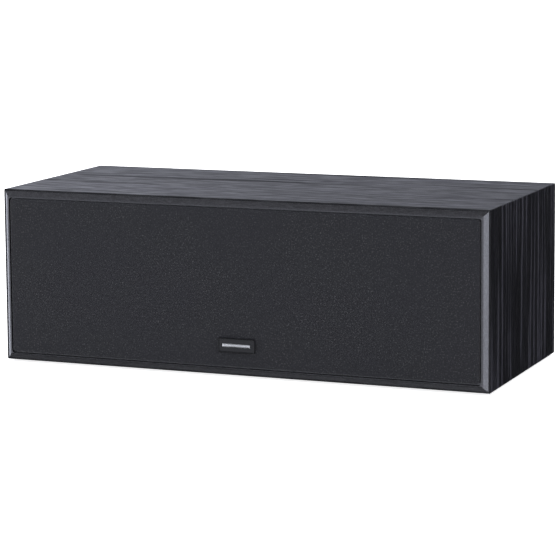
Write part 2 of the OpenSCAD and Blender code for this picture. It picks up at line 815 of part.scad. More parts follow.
// The faceplate clamps the dome's flange against the top plate
module tweeter_faceplate() {
  clamp = dome_t - dome_base + 0.1;
  well_r = dome_flange_r + glue_gap;
  color("#1b1b1e") difference() {
    rotate_extrude($fn = 96) polygon([
      [throat_r, clamp], [well_r, clamp], [well_r, -tweeter_plate_front],
      [tweeter_magnet_r, -tweeter_plate_front], [tweeter_magnet_r, 0], [faceplate_r, 0],
      [faceplate_r, faceplate_t - plate_bevel], [faceplate_r - plate_bevel, faceplate_t],
      [mouth_r, faceplate_t], [throat_r, clamp + plate_bevel]
    ]);
    driver_screw_places(tweeter_screw_circle) {
      translate([0, 0, faceplate_t - screw_seat_drop])
        cylinder(r = screw_head_r + head_fit, h = faceplate_t);
      translate([0, 0, -over]) cylinder(r = screw_r + fit, h = faceplate_t + over);
    }
  }
}

module tweeter_dome() {
  color("#0f0f10") turned_sheet(dome_path, dome_t);
}

module tweeter_voice_coil() {
  former_r = tweeter_coil_r + tweeter_former_t;
  color("#b5651d") translate([0, 0, -tweeter_plate_front - tweeter_coil_h]) {
    ring(former_r, tweeter_coil_r, tweeter_coil_h);
    ring(former_r + tweeter_winding_t, former_r - 0.1, tweeter_coil_h - 0.4);
  }
}

module tweeter_top_plate() {
  color("#8a8c90") translate([0, 0, -tweeter_plate_back])
    ring(tweeter_magnet_r, tweeter_plate_hole_r, tweeter_plate_t);
}

module tweeter_magnet() {
  color("#2e2f31") translate([0, 0, -tweeter_magnet_back])
    ring(tweeter_magnet_r, tweeter_plate_hole_r + 2.5, tweeter_magnet_t);
}

module tweeter_pole_plate() {
  color("#8a8c90") translate([0, 0, -tweeter_back]) {
    cylinder(r = tweeter_magnet_r, h = tweeter_plate_t, $fn = 96);
    cylinder(r = tweeter_pole_r, h = tweeter_back - tweeter_plate_front, $fn = 96);
  }
}

module tweeter_terminals() {
  color("#b8974a") on_seat(0) {
    translate([-tweeter_block_w / 2, tweeter_block_in, -tweeter_block_t])
      cube([tweeter_block_w, tweeter_block_h, tweeter_block_t]);
    tab_y = tweeter_block_in + (tweeter_block_h - tab_t) / 2;
    for (side = [-1, 1])
      translate([side * tab_place - tab_w / 2, tab_y, -tweeter_block_t - tweeter_tab_l])
        cube([tab_w, tab_t, tweeter_tab_l + over]);
  }
}

// One cross-head screw with its head's underside at z = 0
module cross_screw(shank_r, length, head_r, head_h) {
  slot_l = head_r * 1.2;
  slot_w = head_r * 0.24;
  difference() {
    union() {
      cylinder(r = head_r, h = head_h);
      translate([0, 0, -length]) cylinder(r = shank_r, h = length + head_h / 2);
    }
    for (a = [0, 90])
      rotate(a) translate([-slot_l / 2, -slot_w / 2, head_h * 0.45]) cube([slot_l, slot_w, head_h]);
  }
}

module driver_screws() {
  color("#141414") {
    for (side = [-1, 1])
      on_seat(side * woofer_place) translate([0, 0, ring_top - screw_seat_drop])
        driver_screw_places(woofer_screw_circle) cross_screw(screw_r, screw_len, screw_head_r, screw_head_h);
    on_seat(0) translate([0, 0, faceplate_t - screw_seat_drop]) driver_screw_places(tweeter_screw_circle)
      cross_screw(screw_r, screw_len, screw_head_r, screw_head_h);
  }
}

// Reflex tube, with its mouth's face in front of the rear panel's outer face

module reflex_tube() {
  mouth = port_flange_t;
  flare_z = mouth - port_flare;
  flange_r = port_hole_r + port_flange_w;
  bevel = 0.8;
  bend = port_flare - port_wall;
  centre = [port_r + port_flare, flare_z];
  arc = [for (i = [0 : 8]) let (a = 90 * i / 8) centre + port_flare * [-cos(a), sin(a)]];
  back_arc = [for (i = [8 : -1 : 0]) let (a = 90 * i / 8) centre + bend * [-cos(a), sin(a)]];
  color("#19191b") on_rear(-port_x) rotate_extrude($fn = 96) polygon(concat(
    [[port_r, mouth - port_len]], arc, [[flange_r - bevel, mouth], [flange_r, mouth - bevel], [flange_r, 0]],
    [for (p = back_arc) [p[0], min(p[1], 0)]], [[port_r + port_wall, mouth - port_len]]
  ));
}

// Terminal cup and binding posts

module terminal_cup() {
  color("#161618") on_rear(cup_x) difference() {
    union() {
      linear_extrude(cup_flange_t) soft_rect(cup_w, cup_h, cup_corner * 3 / 4);
      translate([0, 0, -cup_floor_back]) linear_extrude(cup_floor_back + cup_flange_t / 2)
        soft_rect(cup_outer_w, cup_outer_h, cup_corner + cup_wall);
    }
    translate([0, 0, -cup_depth]) linear_extrude(cup_depth + cup_flange_t + over)
      soft_rect(cup_pocket_w, cup_pocket_h, cup_corner);
    corners(cup_screw_x, cup_screw_z) {
      translate([0, 0, -over]) cylinder(r = small_screw_r + fit, h = cup_flange_t + 2 * over);
      translate([0, 0, cup_flange_t - small_head_h]) cylinder(r = small_head_r + head_fit, h = cup_flange_t);
    }
    for (side = [-1, 1])
      translate([side * post_gap / 2, 0, -cup_floor_back - over])
        cylinder(r = tail_r + fit, h = cup_wall + 2 * over);
  }
}

module cup_screws() {
  color("#141414") on_rear(cup_x) corners(cup_screw_x, cup_screw_z)
    translate([0, 0, cup_flange_t - small_head_h])
      cross_screw(small_screw_r, small_screw_grip, small_head_r, small_head_h);
}

// Places a child on the cup's floor at one of the two posts: -1 is the red one, left as seen from behind
module at_post(side) {
  on_rear(cup_x) translate([side * post_gap / 2, 0, -cup_depth]) children();
}

module post_stem() {
  color("#c9a34e") difference() {
    union() {
      cylinder(r = post_base_r, h = post_base_t);
      cylinder(r = post_r, h = post_len);
      translate([0, 0, -tail_len]) cylinder(r = tail_r, h = tail_len + over);
    }
    translate([0, 0, post_len - plug_depth]) cylinder(r = plug_r, h = plug_depth + over);
    translate([0, 0, wire_height]) rotate([90, 0, 0]) cylinder(r = wire_r, h = 4 * post_r, center = true);
  }
}

module post_insert() {
  color("#c9a34e") translate([0, 0, cap_start + insert_lift]) ring(insert_r, post_r + fit, insert_h);
}

// Cap with a pocket for its brass insert, a bore for the stem, a plug hole and grooves for the fingers
module post_cap(tint) {
  grooves = 18;
  groove_r = 0.9;
  stem_gap = 0.3;
  color(tint) translate([0, 0, cap_start]) difference() {
    cylinder(r = cap_knob_r, h = cap_knob_h);
    translate([0, 0, insert_lift - fit]) cylinder(r = insert_r + fit, h = insert_h + 2 * fit);
    translate([0, 0, -over]) cylinder(r = post_r + stem_gap, h = insert_h + 2 * over);
    translate([0, 0, insert_h])
      cylinder(r = post_r + stem_gap, h = post_len - cap_start - insert_h + stem_gap);
    cylinder(r = plug_r + stem_gap, h = cap_knob_h + over);
    for (i = [0 : grooves - 1])
      rotate(360 * i / grooves) translate([cap_knob_r + groove_r / 2, 0, 2])
        cylinder(r = groove_r, h = cap_knob_h);
  }
}

module post_nuts() {
  color("#c9a34e") for (side = [-1, 1])
    at_post(side) translate([0, 0, -cup_wall - nut_t]) difference() {
      cylinder(r = nut_across / sqrt(3), h = nut_t, $fn = 6);
      translate([0, 0, -over]) cylinder(r = tail_r + fit, h = nut_t + 2 * over);
    }
}

// Crossover, on spacers on the cabinet's floor

module on_board(x, y) {
  translate([x, board_y + y, board_top]) children();
}

board_hole_x = board_w / 2 - board_hole_inset;
board_hole_y = board_d / 2 - board_hole_inset;

module crossover_board() {
  color("#2f5d3a") difference() {
    translate([-board_w / 2, board_y - board_d / 2, board_z]) cube([board_w, board_d, board_t]);
    on_board(0, 0) corners(board_hole_x, board_hole_y) translate([0, 0, -board_t - over])
      cylinder(r = small_screw_r + fit, h = board_t + 2 * over);
  }
}

module board_spacers() {
  color("#d8d6cc") translate([0, board_y, floor_z]) corners(board_hole_x, board_hole_y)
    ring(spacer_r, small_screw_r + fit, spacer_h);
}

module board_screws() {
  color("#a9abad") on_board(0, 0) corners(board_hole_x, board_hole_y)
    cross_screw(small_screw_r, board_t + spacer_h, small_head_r, small_head_h);
}

// Bobbin with its winding between two cheeks
module choke(r, h) {
  cheek = 1.5;
  wound_r = r - cheek;
  core_r = r * 0.35;
  rotate_extrude() polygon([
    [core_r, 0], [r, 0], [r, cheek], [wound_r, cheek],
    [wound_r, h - cheek], [r, h - cheek], [r, h], [core_r, h]
  ]);
}

choke_x = -board_w / 2 + choke_r + 4;
small_choke_x = board_w / 2 - small_choke_r - 6;
small_choke_y = board_d / 2 - small_choke_r - 2 * board_hole_inset;

module woofer_choke() {
  color("#b87333") on_board(choke_x, 0) choke(choke_r, choke_h);
}

module tweeter_choke() {
  color("#b87333") on_board(small_choke_x, small_choke_y) choke(small_choke_r, small_choke_h);
}

// Rolled capacitor that lies along X, with bevelled ends and a groove near one of them
module capacitor(r, l) {
  edge = 0.8;
  groove = 3;
  waist = r - 0.7;
  translate([-l / 2, 0, r]) rotate([0, 90, 0]) rotate_extrude() polygon([
    [0, 0], [r - edge, 0], [r, edge], [r, groove], [waist, groove + 0.6], [waist, groove + 1.2],
    [r, groove + 1.8], [r, l - edge], [r - edge, l], [0, l]
  ]);
}

capacitor_x = choke_x + choke_r + 2 + capacitor_l / 2;
resistor_gap = 0.75;
resistor_x = small_choke_x - 8;
resistor_y = -board_d / 2 + resistor_h + 8;
small_capacitor_y = resistor_y + resistor_h / 2 + resistor_gap + small_capacitor_r;

module large_capacitor() {
  color("#27364f") on_board(capacitor_x, capacitor_r + 6) capacitor(capacitor_r, capacitor_l);
}

module small_capacitor() {
  color("#8c2f2a") on_board(capacitor_x, small_capacitor_y) capacitor(small_capacitor_r, small_capacitor_l);
}

module resistor() {
  color("#d9d7cf") on_board(resistor_x, resistor_y) translate([-resistor_l / 2, -resistor_h / 2, 0])
    cube([resistor_l, resistor_h, resistor_h]);
}

// Inner leads

// Point on a smooth curve through four points, between the middle two
function spline(a, b, c, d, u) =
  b + (c - a) * u / 2 + (2 * a - 5 * b + 4 * c - d) * pow(u, 2) / 2 + (3 * b - a - 3 * c + d) * pow(u, 3) / 2;
function smooth(route, steps) = [
  for (i = [0 : len(route) - 2], j = [0 : steps - 1])
    spline(route[max(i - 1, 0)], route[i], route[i + 1], route[min(i + 2, len(route) - 1)], j / steps),
  route[len(route) - 1]
];
function heading(line, i) = unit(line[min(i + 1, len(line) - 1)] - line[max(i - 1, 0)]);
// Part of s that is square to the line at point i
function squared(line, s, i) = let (d = heading(line, min(i, len(line) - 1))) unit(s - d * (s * d));

// Tube of eight sides along a smooth line, whose sides are carried from ring to ring without a twist
module lead(route) {
  line = smooth(route, 3);
  sides = 8;
  rings = len(line);
  first = squared(line, [1, 0.3, 0.2], 0);
  across = [for (i = 0, s = first; i < rings; i = i + 1, s = squared(line, s, i)) s];
  points = [for (i = [0 : rings - 1], k = [0 : sides - 1])
    let (t = cross(across[i], heading(line, i)), a = 360 * k / sides)
      line[i] + lead_r * (across[i] * cos(a) + t * sin(a))];
  walls = [for (i = [0 : rings - 2], k = [0 : sides - 1])
    let (a = i * sides + k, b = i * sides + (k + 1) % sides) [a, a + sides, b + sides, b]];
  caps = [[for (k = [0 : sides - 1]) k], [for (k = [sides - 1 : -1 : 0]) (rings - 1) * sides + k]];
  color("#b23a32") polyhedron(points = points, faces = concat(walls, caps), convexity = 6);
}

// Up from the board, across to the driver with the sideways move last, and straight in between its tabs
function lead_route(start, finish, away) =
  let (
    top = start + [0, 0, 6 * lead_r],
    entry = finish + away * 8 * lead_r,
    span = entry - top
  )
  concat(
    [start, start + [0, 0, 3 * lead_r], top],
    [for (t = [0.25, 0.6, 0.85]) top + [span[0] * t * t, span[1] * t, span[2] * t]],
    [entry, finish + away * 4 * lead_r, finish]
  );

lead_edge = 5;
lead_front_y = board_y - board_d / 2 + 2 * board_hole_inset;
function woofer_route(side) = lead_route(
  [side * (board_w / 2 - lead_edge), lead_front_y, board_top],
  [side * (woofer_place - strip_out * driver_scale), seat_y + strip_middle * driver_scale, mid_z],
  [-side, 0, 0]
);
tweeter_lead_inset = 8;
tweeter_tab_z = mid_z + (tweeter_block_in + tweeter_block_h / 2) * driver_scale;
tweeter_route = lead_route(
  [tweeter_lead_inset, board_y - board_d / 2 + tweeter_lead_inset, board_top],
  [0, seat_y + tweeter_block_t * driver_scale, tweeter_tab_z],
  [0, 1, 0]
);

// One lead to the tail of each binding post
terminal_lead_gap = 6;
terminal_lead_y = board_y - board_d / 2 + 4 * board_hole_inset + terminal_lead_gap / 2;
function terminal_route(side) = lead_route(
  [board_w / 2 - lead_edge, terminal_lead_y + side * terminal_lead_gap / 2, board_top],
  [cup_x - side * post_gap / 2, rear_out_y - cup_depth - tail_len, mid_z],
  [0, -1, 0]
);

module woofer_leads() {
  for (side = [-1, 1]) lead(woofer_route(side));
}

module tweeter_lead() {
  lead(tweeter_route);
}

module terminal_leads() {
  for (side = [-1, 1]) lead(terminal_route(side));
}

// Soft pads of wadding against the two side walls
module wadding(side) {
  depth = rear_in_y - seat_y - basket_depth * driver_scale;
  gap = 0.3;
  rear_gap = 2;
  x = side * (inner_w / 2 - gap - wadding_t / 2);
  color("#d9d9d4") translate([x, rear_in_y - rear_gap - depth / 2, mid_z]) rotate([90, 0, 90])
    linear_extrude(wadding_t, center = true) soft_rect(depth, inner_h - 8, 10);
}

cabinet_wrap();
front_baffle();
rear_panel();
grille_frame();
grille_cloth();
badge();
peg_cups();
foot_pads();
on_seat(-woofer_place) basket();  // woofer_left_basket
on_seat(-woofer_place) trim_ring();  // woofer_left_trim_ring
on_seat(-woofer_place) surround();  // woofer_left_surround
on_seat(-woofer_place) cone();  // woofer_left_cone
on_seat(-woofer_place) dust_cap();  // woofer_left_dust_cap
on_seat(-woofer_place) spider();  // woofer_left_spider
on_seat(-woofer_place) voice_coil();  // woofer_left_voice_coil
on_seat(-woofer_place) top_plate();  // woofer_left_top_plate
on_seat(-woofer_place) magnet();  // woofer_left_magnet
on_seat(-woofer_place) pole_plate();  // woofer_left_pole_plate
on_seat(woofer_place) basket();  // woofer_right_basket
on_seat(woofer_place) trim_ring();  // woofer_right_trim_ring
on_seat(woofer_place) surround();  // woofer_right_surround
on_seat(woofer_place) cone();  // woofer_right_cone
on_seat(woofer_place) dust_cap();  // woofer_right_dust_cap
on_seat(woofer_place) spider();  // woofer_right_spider
on_seat(woofer_place) voice_coil();  // woofer_right_voice_coil
on_seat(woofer_place) top_plate();  // woofer_right_top_plate
on_seat(woofer_place) magnet();  // woofer_right_magnet
on_seat(woofer_place) pole_plate();  // woofer_right_pole_plate
woofer_terminals();
on_seat(0) tweeter_faceplate();
on_seat(0) tweeter_dome();
on_seat(0) tweeter_voice_coil();
on_seat(0) tweeter_top_plate();
on_seat(0) tweeter_magnet();
on_seat(0) tweeter_pole_plate();
tweeter_terminals();
driver_screws();
reflex_tube();
terminal_cup();
cup_screws();
at_post(-1) post_stem();  // red_post_stem
at_post(1) post_stem();  // black_post_stem
at_post(-1) post_insert();  // red_post_insert
at_post(1) post_insert();  // black_post_insert
at_post(-1) post_cap("#a01c1c");  // red_post_cap
at_post(1) post_cap("#1a1a1a");  // black_post_cap
post_nuts();
crossover_board();
board_spacers();
board_screws();
woofer_choke();
tweeter_choke();
large_capacitor();
small_capacitor();
resistor();
woofer_leads();
tweeter_lead();
terminal_leads();
wadding(-1);  // wadding_left
wadding(1);  // wadding_right
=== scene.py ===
# %% [markdown]
# # A center channel speaker
#
# This lesson dresses a finished model of a low, wide loudspeaker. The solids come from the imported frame
# and keep their places. Here they get their finishes, and the soft or finely shaped pieces are made again
# as smooth surfaces.

import json
import math

import bmesh
import bpy
import numpy as np
from mathutils import Matrix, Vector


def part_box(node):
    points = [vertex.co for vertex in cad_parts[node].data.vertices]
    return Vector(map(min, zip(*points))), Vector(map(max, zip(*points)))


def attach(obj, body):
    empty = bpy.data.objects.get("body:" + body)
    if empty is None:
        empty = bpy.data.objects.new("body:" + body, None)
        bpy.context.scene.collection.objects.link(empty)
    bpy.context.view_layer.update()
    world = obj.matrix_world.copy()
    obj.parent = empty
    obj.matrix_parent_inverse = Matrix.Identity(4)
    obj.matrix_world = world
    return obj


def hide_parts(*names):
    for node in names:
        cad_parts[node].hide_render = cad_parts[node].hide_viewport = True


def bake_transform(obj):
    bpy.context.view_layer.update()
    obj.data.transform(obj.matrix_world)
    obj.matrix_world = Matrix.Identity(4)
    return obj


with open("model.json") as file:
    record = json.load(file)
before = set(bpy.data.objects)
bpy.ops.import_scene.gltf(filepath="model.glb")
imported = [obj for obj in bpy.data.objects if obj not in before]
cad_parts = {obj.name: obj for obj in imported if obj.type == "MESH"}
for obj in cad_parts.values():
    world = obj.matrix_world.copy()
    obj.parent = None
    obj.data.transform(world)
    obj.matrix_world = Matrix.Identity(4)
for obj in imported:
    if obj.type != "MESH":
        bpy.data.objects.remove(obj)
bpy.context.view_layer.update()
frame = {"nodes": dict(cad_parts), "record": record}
nodes = frame["nodes"]

# %% [markdown]
# ## Sizes that the dressing shares
#
# The frame already says where each solid lies, so most places are read from it. The few sizes that a box
# can't tell, such as a wall or a corner radius, are repeated here in metres.

# %% Places read from the frame
MM = 0.001
wrap_low, wrap_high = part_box("cabinet_wrap")
cloth_low, cloth_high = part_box("grille_cloth")
badge_low, badge_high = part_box("badge")
front_y = wrap_low.y
mid_z = (wrap_low.z + wrap_high.z) / 2
half_w = wrap_high.x
driver_rebate_drop = 2.8 * MM
seat_y = front_y + driver_rebate_drop
basket_low, basket_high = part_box("woofer_right_basket")
woofer_x = (basket_low.x + basket_high.x) / 2
print(f"cabinet {2 * half_w * 1000:.0f} mm wide, woofers {woofer_x * 1000:.0f} mm off the middle")

# %% [markdown]
# ## Camera
#
# The photograph was taken from the right of the middle and a little above. A view like this can be found
# by moving a camera by hand, but the seven visible corners of the box settle it better: they give the
# angle, the distance, the lens and the point of the picture that the lens looks at, which lies above and
# left of its middle.

# %% Camera at the photograph's angle
azimuth = math.radians(22.89)
elevation = math.radians(7.55)
roll = math.radians(-0.56)
distance = 2.037
focal_px = 2475
picture_px = 560
axis_px = (246, 211)
aim_right, aim_up = 7.5 * MM, 138.3 * MM
sensor_mm = 36
sight_m = 100

aim = np.array([aim_right, front_y, wrap_low.z + aim_up])
backward = np.array([
    math.sin(azimuth) * math.cos(elevation),
    -math.cos(azimuth) * math.cos(elevation),
    math.sin(elevation)])
rightward = np.cross([0, 0, 1], backward)
rightward /= np.linalg.norm(rightward)
upward = np.cross(backward, rightward)
turned_right = math.cos(roll) * rightward + math.sin(roll) * upward
turned_up = math.cos(roll) * upward - math.sin(roll) * rightward

lens = bpy.data.cameras.new("camera")
lens.sensor_width = sensor_mm
lens.lens = focal_px / picture_px * sensor_mm
lens.shift_x = (picture_px / 2 - axis_px[0]) / picture_px
lens.shift_y = (axis_px[1] - picture_px / 2) / picture_px
lens.clip_end = sight_m
camera = bpy.data.objects.new("camera", lens)
placed = np.eye(4)
placed[:3, 0], placed[:3, 1], placed[:3, 2] = turned_right, turned_up, backward
placed[:3, 3] = aim + distance * backward
camera.matrix_world = Matrix(placed.tolist())
bpy.context.scene.collection.objects.link(camera)
bpy.context.scene.camera = camera
print("lens", round(lens.lens, 1), "mm, shift", round(lens.shift_x, 3), round(lens.shift_y, 3))

# %% [markdown]
# ## Shader sums written as Python
#
# A pattern such as wood grain is a sum of simple patterns. Wiring Math nodes by hand hides that sum, so a
# small class wraps a socket and lets Python's own operators add the nodes.

# %% The socket class


class Socket:
    """A node's output. + - * and / on it add Math nodes, and + - * also take a plain number on the left."""

    def __init__(self, finish, link):
        self.finish = finish
        self.link = link

    def math(self, operation, *others):
        """Any operation of the Math node, on this socket and the others."""
        return self.finish.node("Math", {"operation": operation}, dict(enumerate([self, *others])))

    def __add__(self, other):
        return self.math("ADD", other)

    __radd__ = __add__

    def __sub__(self, other):
        return self.math("SUBTRACT", other)

    def __rsub__(self, other):
        return self.finish.node("Math", {"operation": "SUBTRACT"}, {0: other, 1: self})

    def __mul__(self, other):
        return self.math("MULTIPLY", other)

    __rmul__ = __mul__

    def __truediv__(self, other):
        return self.math("DIVIDE", other)

    def step(self, low, high):
        """0 below low and 1 above high, with a smooth rise between. The two may come the other way round."""
        return self.finish.node("MapRange", {"interpolation_type": "SMOOTHSTEP"}, {
            "Value": self, "From Min": low, "From Max": high})


# %% [markdown]
# ## One class for every finish
#
# Each material is a Principled shader with a few patterns in front of it. What is the same all over the
# surface is set on the shader's own sockets, and only what varies is linked.

# %% The finish class


class Finish:
    """A material being made. node adds any node, and wear and bump link the results to the shader."""

    def __init__(self, name, **constants):
        self.material = bpy.data.materials.new(name)
        self.material.use_nodes = True
        self.tree = self.material.node_tree
        self.shader = self.tree.nodes["Principled BSDF"]
        for key, value in constants.items():
            self.shader.inputs[key.replace("_", " ")].default_value = value

    def node(self, kind, settings=None, inputs=None, output=0):
        """Adds a node of that type. Settings are set first, then each input gets a value or a link."""
        made = self.tree.nodes.new("ShaderNode" + kind)
        for key, value in (settings or {}).items():
            setattr(made, key, value)
        for key, value in (inputs or {}).items():
            self.feed(made.inputs[key], value)
        return Socket(self, made.outputs[output])

    def feed(self, target, value):
        """Gives an input a link if the value is a socket, and else the value itself."""
        if isinstance(value, Socket):
            self.tree.links.new(value.link, target)
        else:
            target.default_value = value

    def split(self, spot):
        """The three numbers of a vector, each as a socket of its own."""
        apart = self.node("SeparateXYZ", None, {0: spot})
        return [Socket(self, out) for out in apart.link.node.outputs]

    def place(self):
        """The three Object coordinates, in metres."""
        return self.split(self.node("TexCoord", output=3))

    def flat(self):
        """The two coordinates of the piece's own flat map, in metres."""
        return self.split(self.node("UVMap", {"uv_map": "flat"}))[:2]

    def vector(self, x, y, z):
        """Three numbers or sockets as one vector."""
        return self.node("CombineXYZ", None, {0: x, 1: y, 2: z})

    def noise(self, x, y, z, detail=2, roughness=0.5):
        """Noise whose grains are one unit wide in the coordinates given."""
        return self.node("TexNoise", None, {
            "Vector": self.vector(x, y, z), "Scale": 1, "Detail": detail, "Roughness": roughness})

    def mix(self, share, first, second):
        """The first colour where share is 0 and the second where it is 1."""
        return self.node("Mix", {"data_type": "RGBA"}, {0: share, 6: first, 7: second}, output=2)

    def wear(self, **links):
        """Feeds the shader's inputs, named with _ for each space."""
        for key, value in links.items():
            self.feed(self.shader.inputs[key.replace("_", " ")], value)
        return self

    def bump(self, height, depth, strength=1):
        """Height runs from 0 to 1 and depth is its real size in metres."""
        raised = self.node("Bump", None, {"Strength": strength, "Distance": depth, "Height": height})
        return self.wear(Normal=raised)


def shade(value, tint=(1, 1, 1)):
    """A grey of that brightness with a tint, as a colour with alpha."""
    return (value * tint[0], value * tint[1], value * tint[2], 1)


# %% [markdown]
# ## Black ash foil
#
# The cabinet is one board with a printed foil, cut with V grooves and folded round, so the grain runs
# along the top and then down the sides. The foil's pattern is built along that path: dark wavy growth
# lines, thin pale streaks, short dashes, and pores that are pressed into the foil. The board's cut front
# edge is painted black.

# %% Black ash foil
fold_start, fold_end = 0.9 * MM, 0.4 * MM
paint_end, paint_full = 0.5 * MM, 0.2 * MM
foil_dark, foil_pale = shade(0.0002, (1, 0.98, 1.2)), shade(0.03, (1, 0.97, 1.25))
vein_dark, edge_paint = shade(0.0003, (1, 0.98, 1.1)), shade(0.0003)


def ash_foil():
    """Grain along x on the top and along z down the sides, and black paint on the board's cut front edge."""
    finish = Finish("ash_foil", Specular_IOR_Level=0.5)
    x, y, z = finish.place()
    side = x.math("ABSOLUTE").step(half_w - fold_start, half_w - fold_end)
    drop = wrap_high.z - z
    along = x * (1 - side) + side * (drop + half_w) * x.math("SIGN")
    across = y + side * 0.37
    drift = finish.noise(along * 5, across * 9, side * 3, detail=2) - 0.5
    bent = across + drift * 0.016
    bands = finish.noise(along * 1.5, bent * 48, side * 5, detail=3, roughness=0.55)
    lines = finish.noise(along * 3, bent * 85, side * 7 + 3.6, detail=2, roughness=0.6)
    streaks = finish.noise(along * 4, bent * 190, side * 9, detail=2, roughness=0.4)
    mottles = finish.noise(along * 28, bent * 200, side * 10, detail=2, roughness=0.6)
    pores = finish.noise(along * 60, bent * 900, side * 11, detail=2, roughness=0.6)
    fine = finish.noise(along * 22, bent * 420, side * 13, detail=3, roughness=0.65)
    dark_line = lines.step(0.42, 0.33)
    streak = streaks.step(0.54, 0.6)
    mottle = mottles.step(0.4, 0.6)
    pore = pores.step(0.48, 0.4) * (0.5 + 0.5 * dark_line)
    tone = bands.step(0.35, 0.65) * 0.05 + streak * 0.7 + mottle * 0.1 + fine.step(0.36, 0.64) * 0.15
    veined = finish.mix(dark_line * 0.9, finish.mix(tone, foil_dark, foil_pale), vein_dark)
    cut = y.step(front_y + paint_end, front_y + paint_full)
    finish.wear(Base_Color=finish.mix((pore * 0.8).math("MAXIMUM", cut), veined, edge_paint))
    finish.wear(Roughness=0.32 + 0.26 * dark_line + 0.1 * pore + 0.16 * (1 - mottle) + 0.3 * cut)
    relief = 0.4 - 0.4 * pore - 0.4 * dark_line + 0.3 * fine + 0.4 * mottle
    return finish.bump(relief, 0.1 * MM, 1).material


# %% [markdown]
# ## Moulded plastics
#
# Plastic mouldings are not smooth: the steel mould is eroded with sparks, which leaves a fine grain. One
# function makes them all, from the grain's size and depth, and adds the slow change of gloss that
# handling and flow leave. It can also paint the grain's tops paler, a painted highlight where light
# would catch them.

# %% Moulded plastic


def moulded(
        name, tone, roughness, grain=0.35 * MM, depth=0.02 * MM, tint=(1, 1, 1.04), specular=0.5, speckle=0):
    """A plastic with a spark grain of that width and depth. Speckle is a painted highlight on the grain's
    tops.
    """
    finish = Finish(name, Specular_IOR_Level=specular)
    x, y, z = finish.place()
    spark = finish.noise(x / grain, y / grain, z / grain, detail=2, roughness=0.6)
    flow = finish.noise(x * 14, y * 14, z * 14, detail=3)
    even = finish.mix(flow.step(0.3, 0.7), shade(tone * 0.88, tint), shade(tone * 1.12, tint))
    # speckle paints the tops of the spark grain paler: a painted highlight.
    finish.wear(Base_Color=finish.mix(spark.step(0.4, 0.65) * speckle, even, shade(tone * 4, tint)))
    finish.wear(Roughness=roughness - 0.04 + 0.08 * flow)
    return finish.bump(spark, depth, 0.6).material


# %% [markdown]
# ## Metals, wire and ferrite
#
# Turned and pressed metal shows fine marks, plated steel has a faint mottle, and a wound coil shows its
# turns, with painted shade in the grooves between them.

# %% Metals


def metal(name, colour, roughness, mark=0.4 * MM, depth=0.01 * MM, metallic=1.0):
    """A metal with a faint mottle and tool marks of that width and depth. Less metallic is painted metal."""
    finish = Finish(name, Metallic=metallic)
    x, y, z = finish.place()
    mottle = finish.noise(x * 90, y * 90, z * 90, detail=3)
    marks = finish.noise(x / mark, y / mark, z / mark, detail=2)
    darker = tuple(0.82 * c for c in colour[:3]) + (1,)
    finish.wear(Base_Color=finish.mix(mottle.step(0.35, 0.65), darker, colour[:3] + (1,)))
    finish.wear(Roughness=roughness - 0.05 + 0.1 * mottle)
    return finish.bump(marks, depth, 0.5).material


wire_pitch = 0.7 * MM


def wound_wire():
    """Turns of wire as ridges on a coil of any axis: 0.5 + 0.5 sin(2 pi (y + z) / wire_pitch).

    The copper is darker in the grooves between the turns: painted shade.
    """
    finish = Finish("copper_wire", Metallic=0.9)
    x, y, z = finish.place()
    turn = ((y + z) * (2 * math.pi / wire_pitch)).math("SINE") * 0.5 + 0.5
    mottle = finish.noise(x * 200, y * 200, z * 200)
    # Darker copper in the grooves between the turns is painted shade.
    finish.wear(Base_Color=finish.mix(turn, shade(0.3, (1, 0.42, 0.2)), shade(0.72, (1, 0.5, 0.26))))
    finish.wear(Roughness=0.28 + 0.12 * mottle)
    return finish.bump(turn, 0.12 * MM, 0.8).material


# %% [markdown]
# ## Speaker cloth
#
# Speaker cloth is a thin knit, open enough for sound. Its loops are smaller than a millimetre, so from a
# step away they show as a fine speckle. Its colour is darker where the loops sink, which is painted shade
# between them. The pattern follows the cloth's flat map, so it turns round the frame's edge with it.

# %% Speaker cloth
knit_pitch, knit_sway = 0.95 * MM, 0.3 * MM
# knit_dark is the painted shade between the loops, and the yarn's darker tone.
knit_dark, knit_pale = shade(0.003, (0.97, 1, 1.25)), shade(0.0122, (0.97, 1, 1.25))
fleck_tone, cloud_tone = shade(0.07, (1, 1.01, 1.04)), shade(0.008, (1, 1, 1.4))


def speaker_cloth():
    """Loops of height 0.5 + 0.5 sin(2 pi u / knit_pitch) sin(2 pi v / knit_pitch), with pale flecks of yarn.

    Both u and v sway a little first, by up to half of knit_sway. The colour is darker where the loops and
    the yarn sink: painted shade between the loops, and the yarn's own tone that varies at random.
    """
    finish = Finish("grille_fabric", Specular_IOR_Level=0.25, Sheen_Weight=0.12, Sheen_Roughness=0.5)
    u, v = finish.flat()
    sway = finish.noise(u * 120, v * 120, 0) - 0.5
    row = ((v + sway * knit_sway) * (2 * math.pi / knit_pitch)).math("SINE")
    column = ((u + sway * knit_sway) * (2 * math.pi / knit_pitch)).math("SINE")
    loop = (row * column) * 0.5 + 0.5
    yarn = finish.noise(u / (0.3 * MM), v / (0.3 * MM), 1.7, detail=2)
    fleck = finish.noise(u / (1.2 * MM), v / (1.2 * MM), 5.1, detail=2, roughness=0.7)
    cloud = finish.noise(u * 18, v * 18, 9.3, detail=3)
    height = loop * 0.6 + yarn * 0.4
    # Darker where the loops sink: painted shade between them, with the yarn's random tone.
    base = finish.mix(height.step(0.2, 0.8), knit_dark, knit_pale)
    lit = finish.mix(fleck.step(0.52, 0.75) * 0.6, base, fleck_tone)
    finish.wear(Base_Color=finish.mix(cloud.step(0.35, 0.65) * 0.35, lit, cloud_tone))
    finish.wear(Roughness=0.78 + 0.15 * yarn)
    return finish.bump(height + 0.4 * fleck, 0.25 * MM, 0.7).material


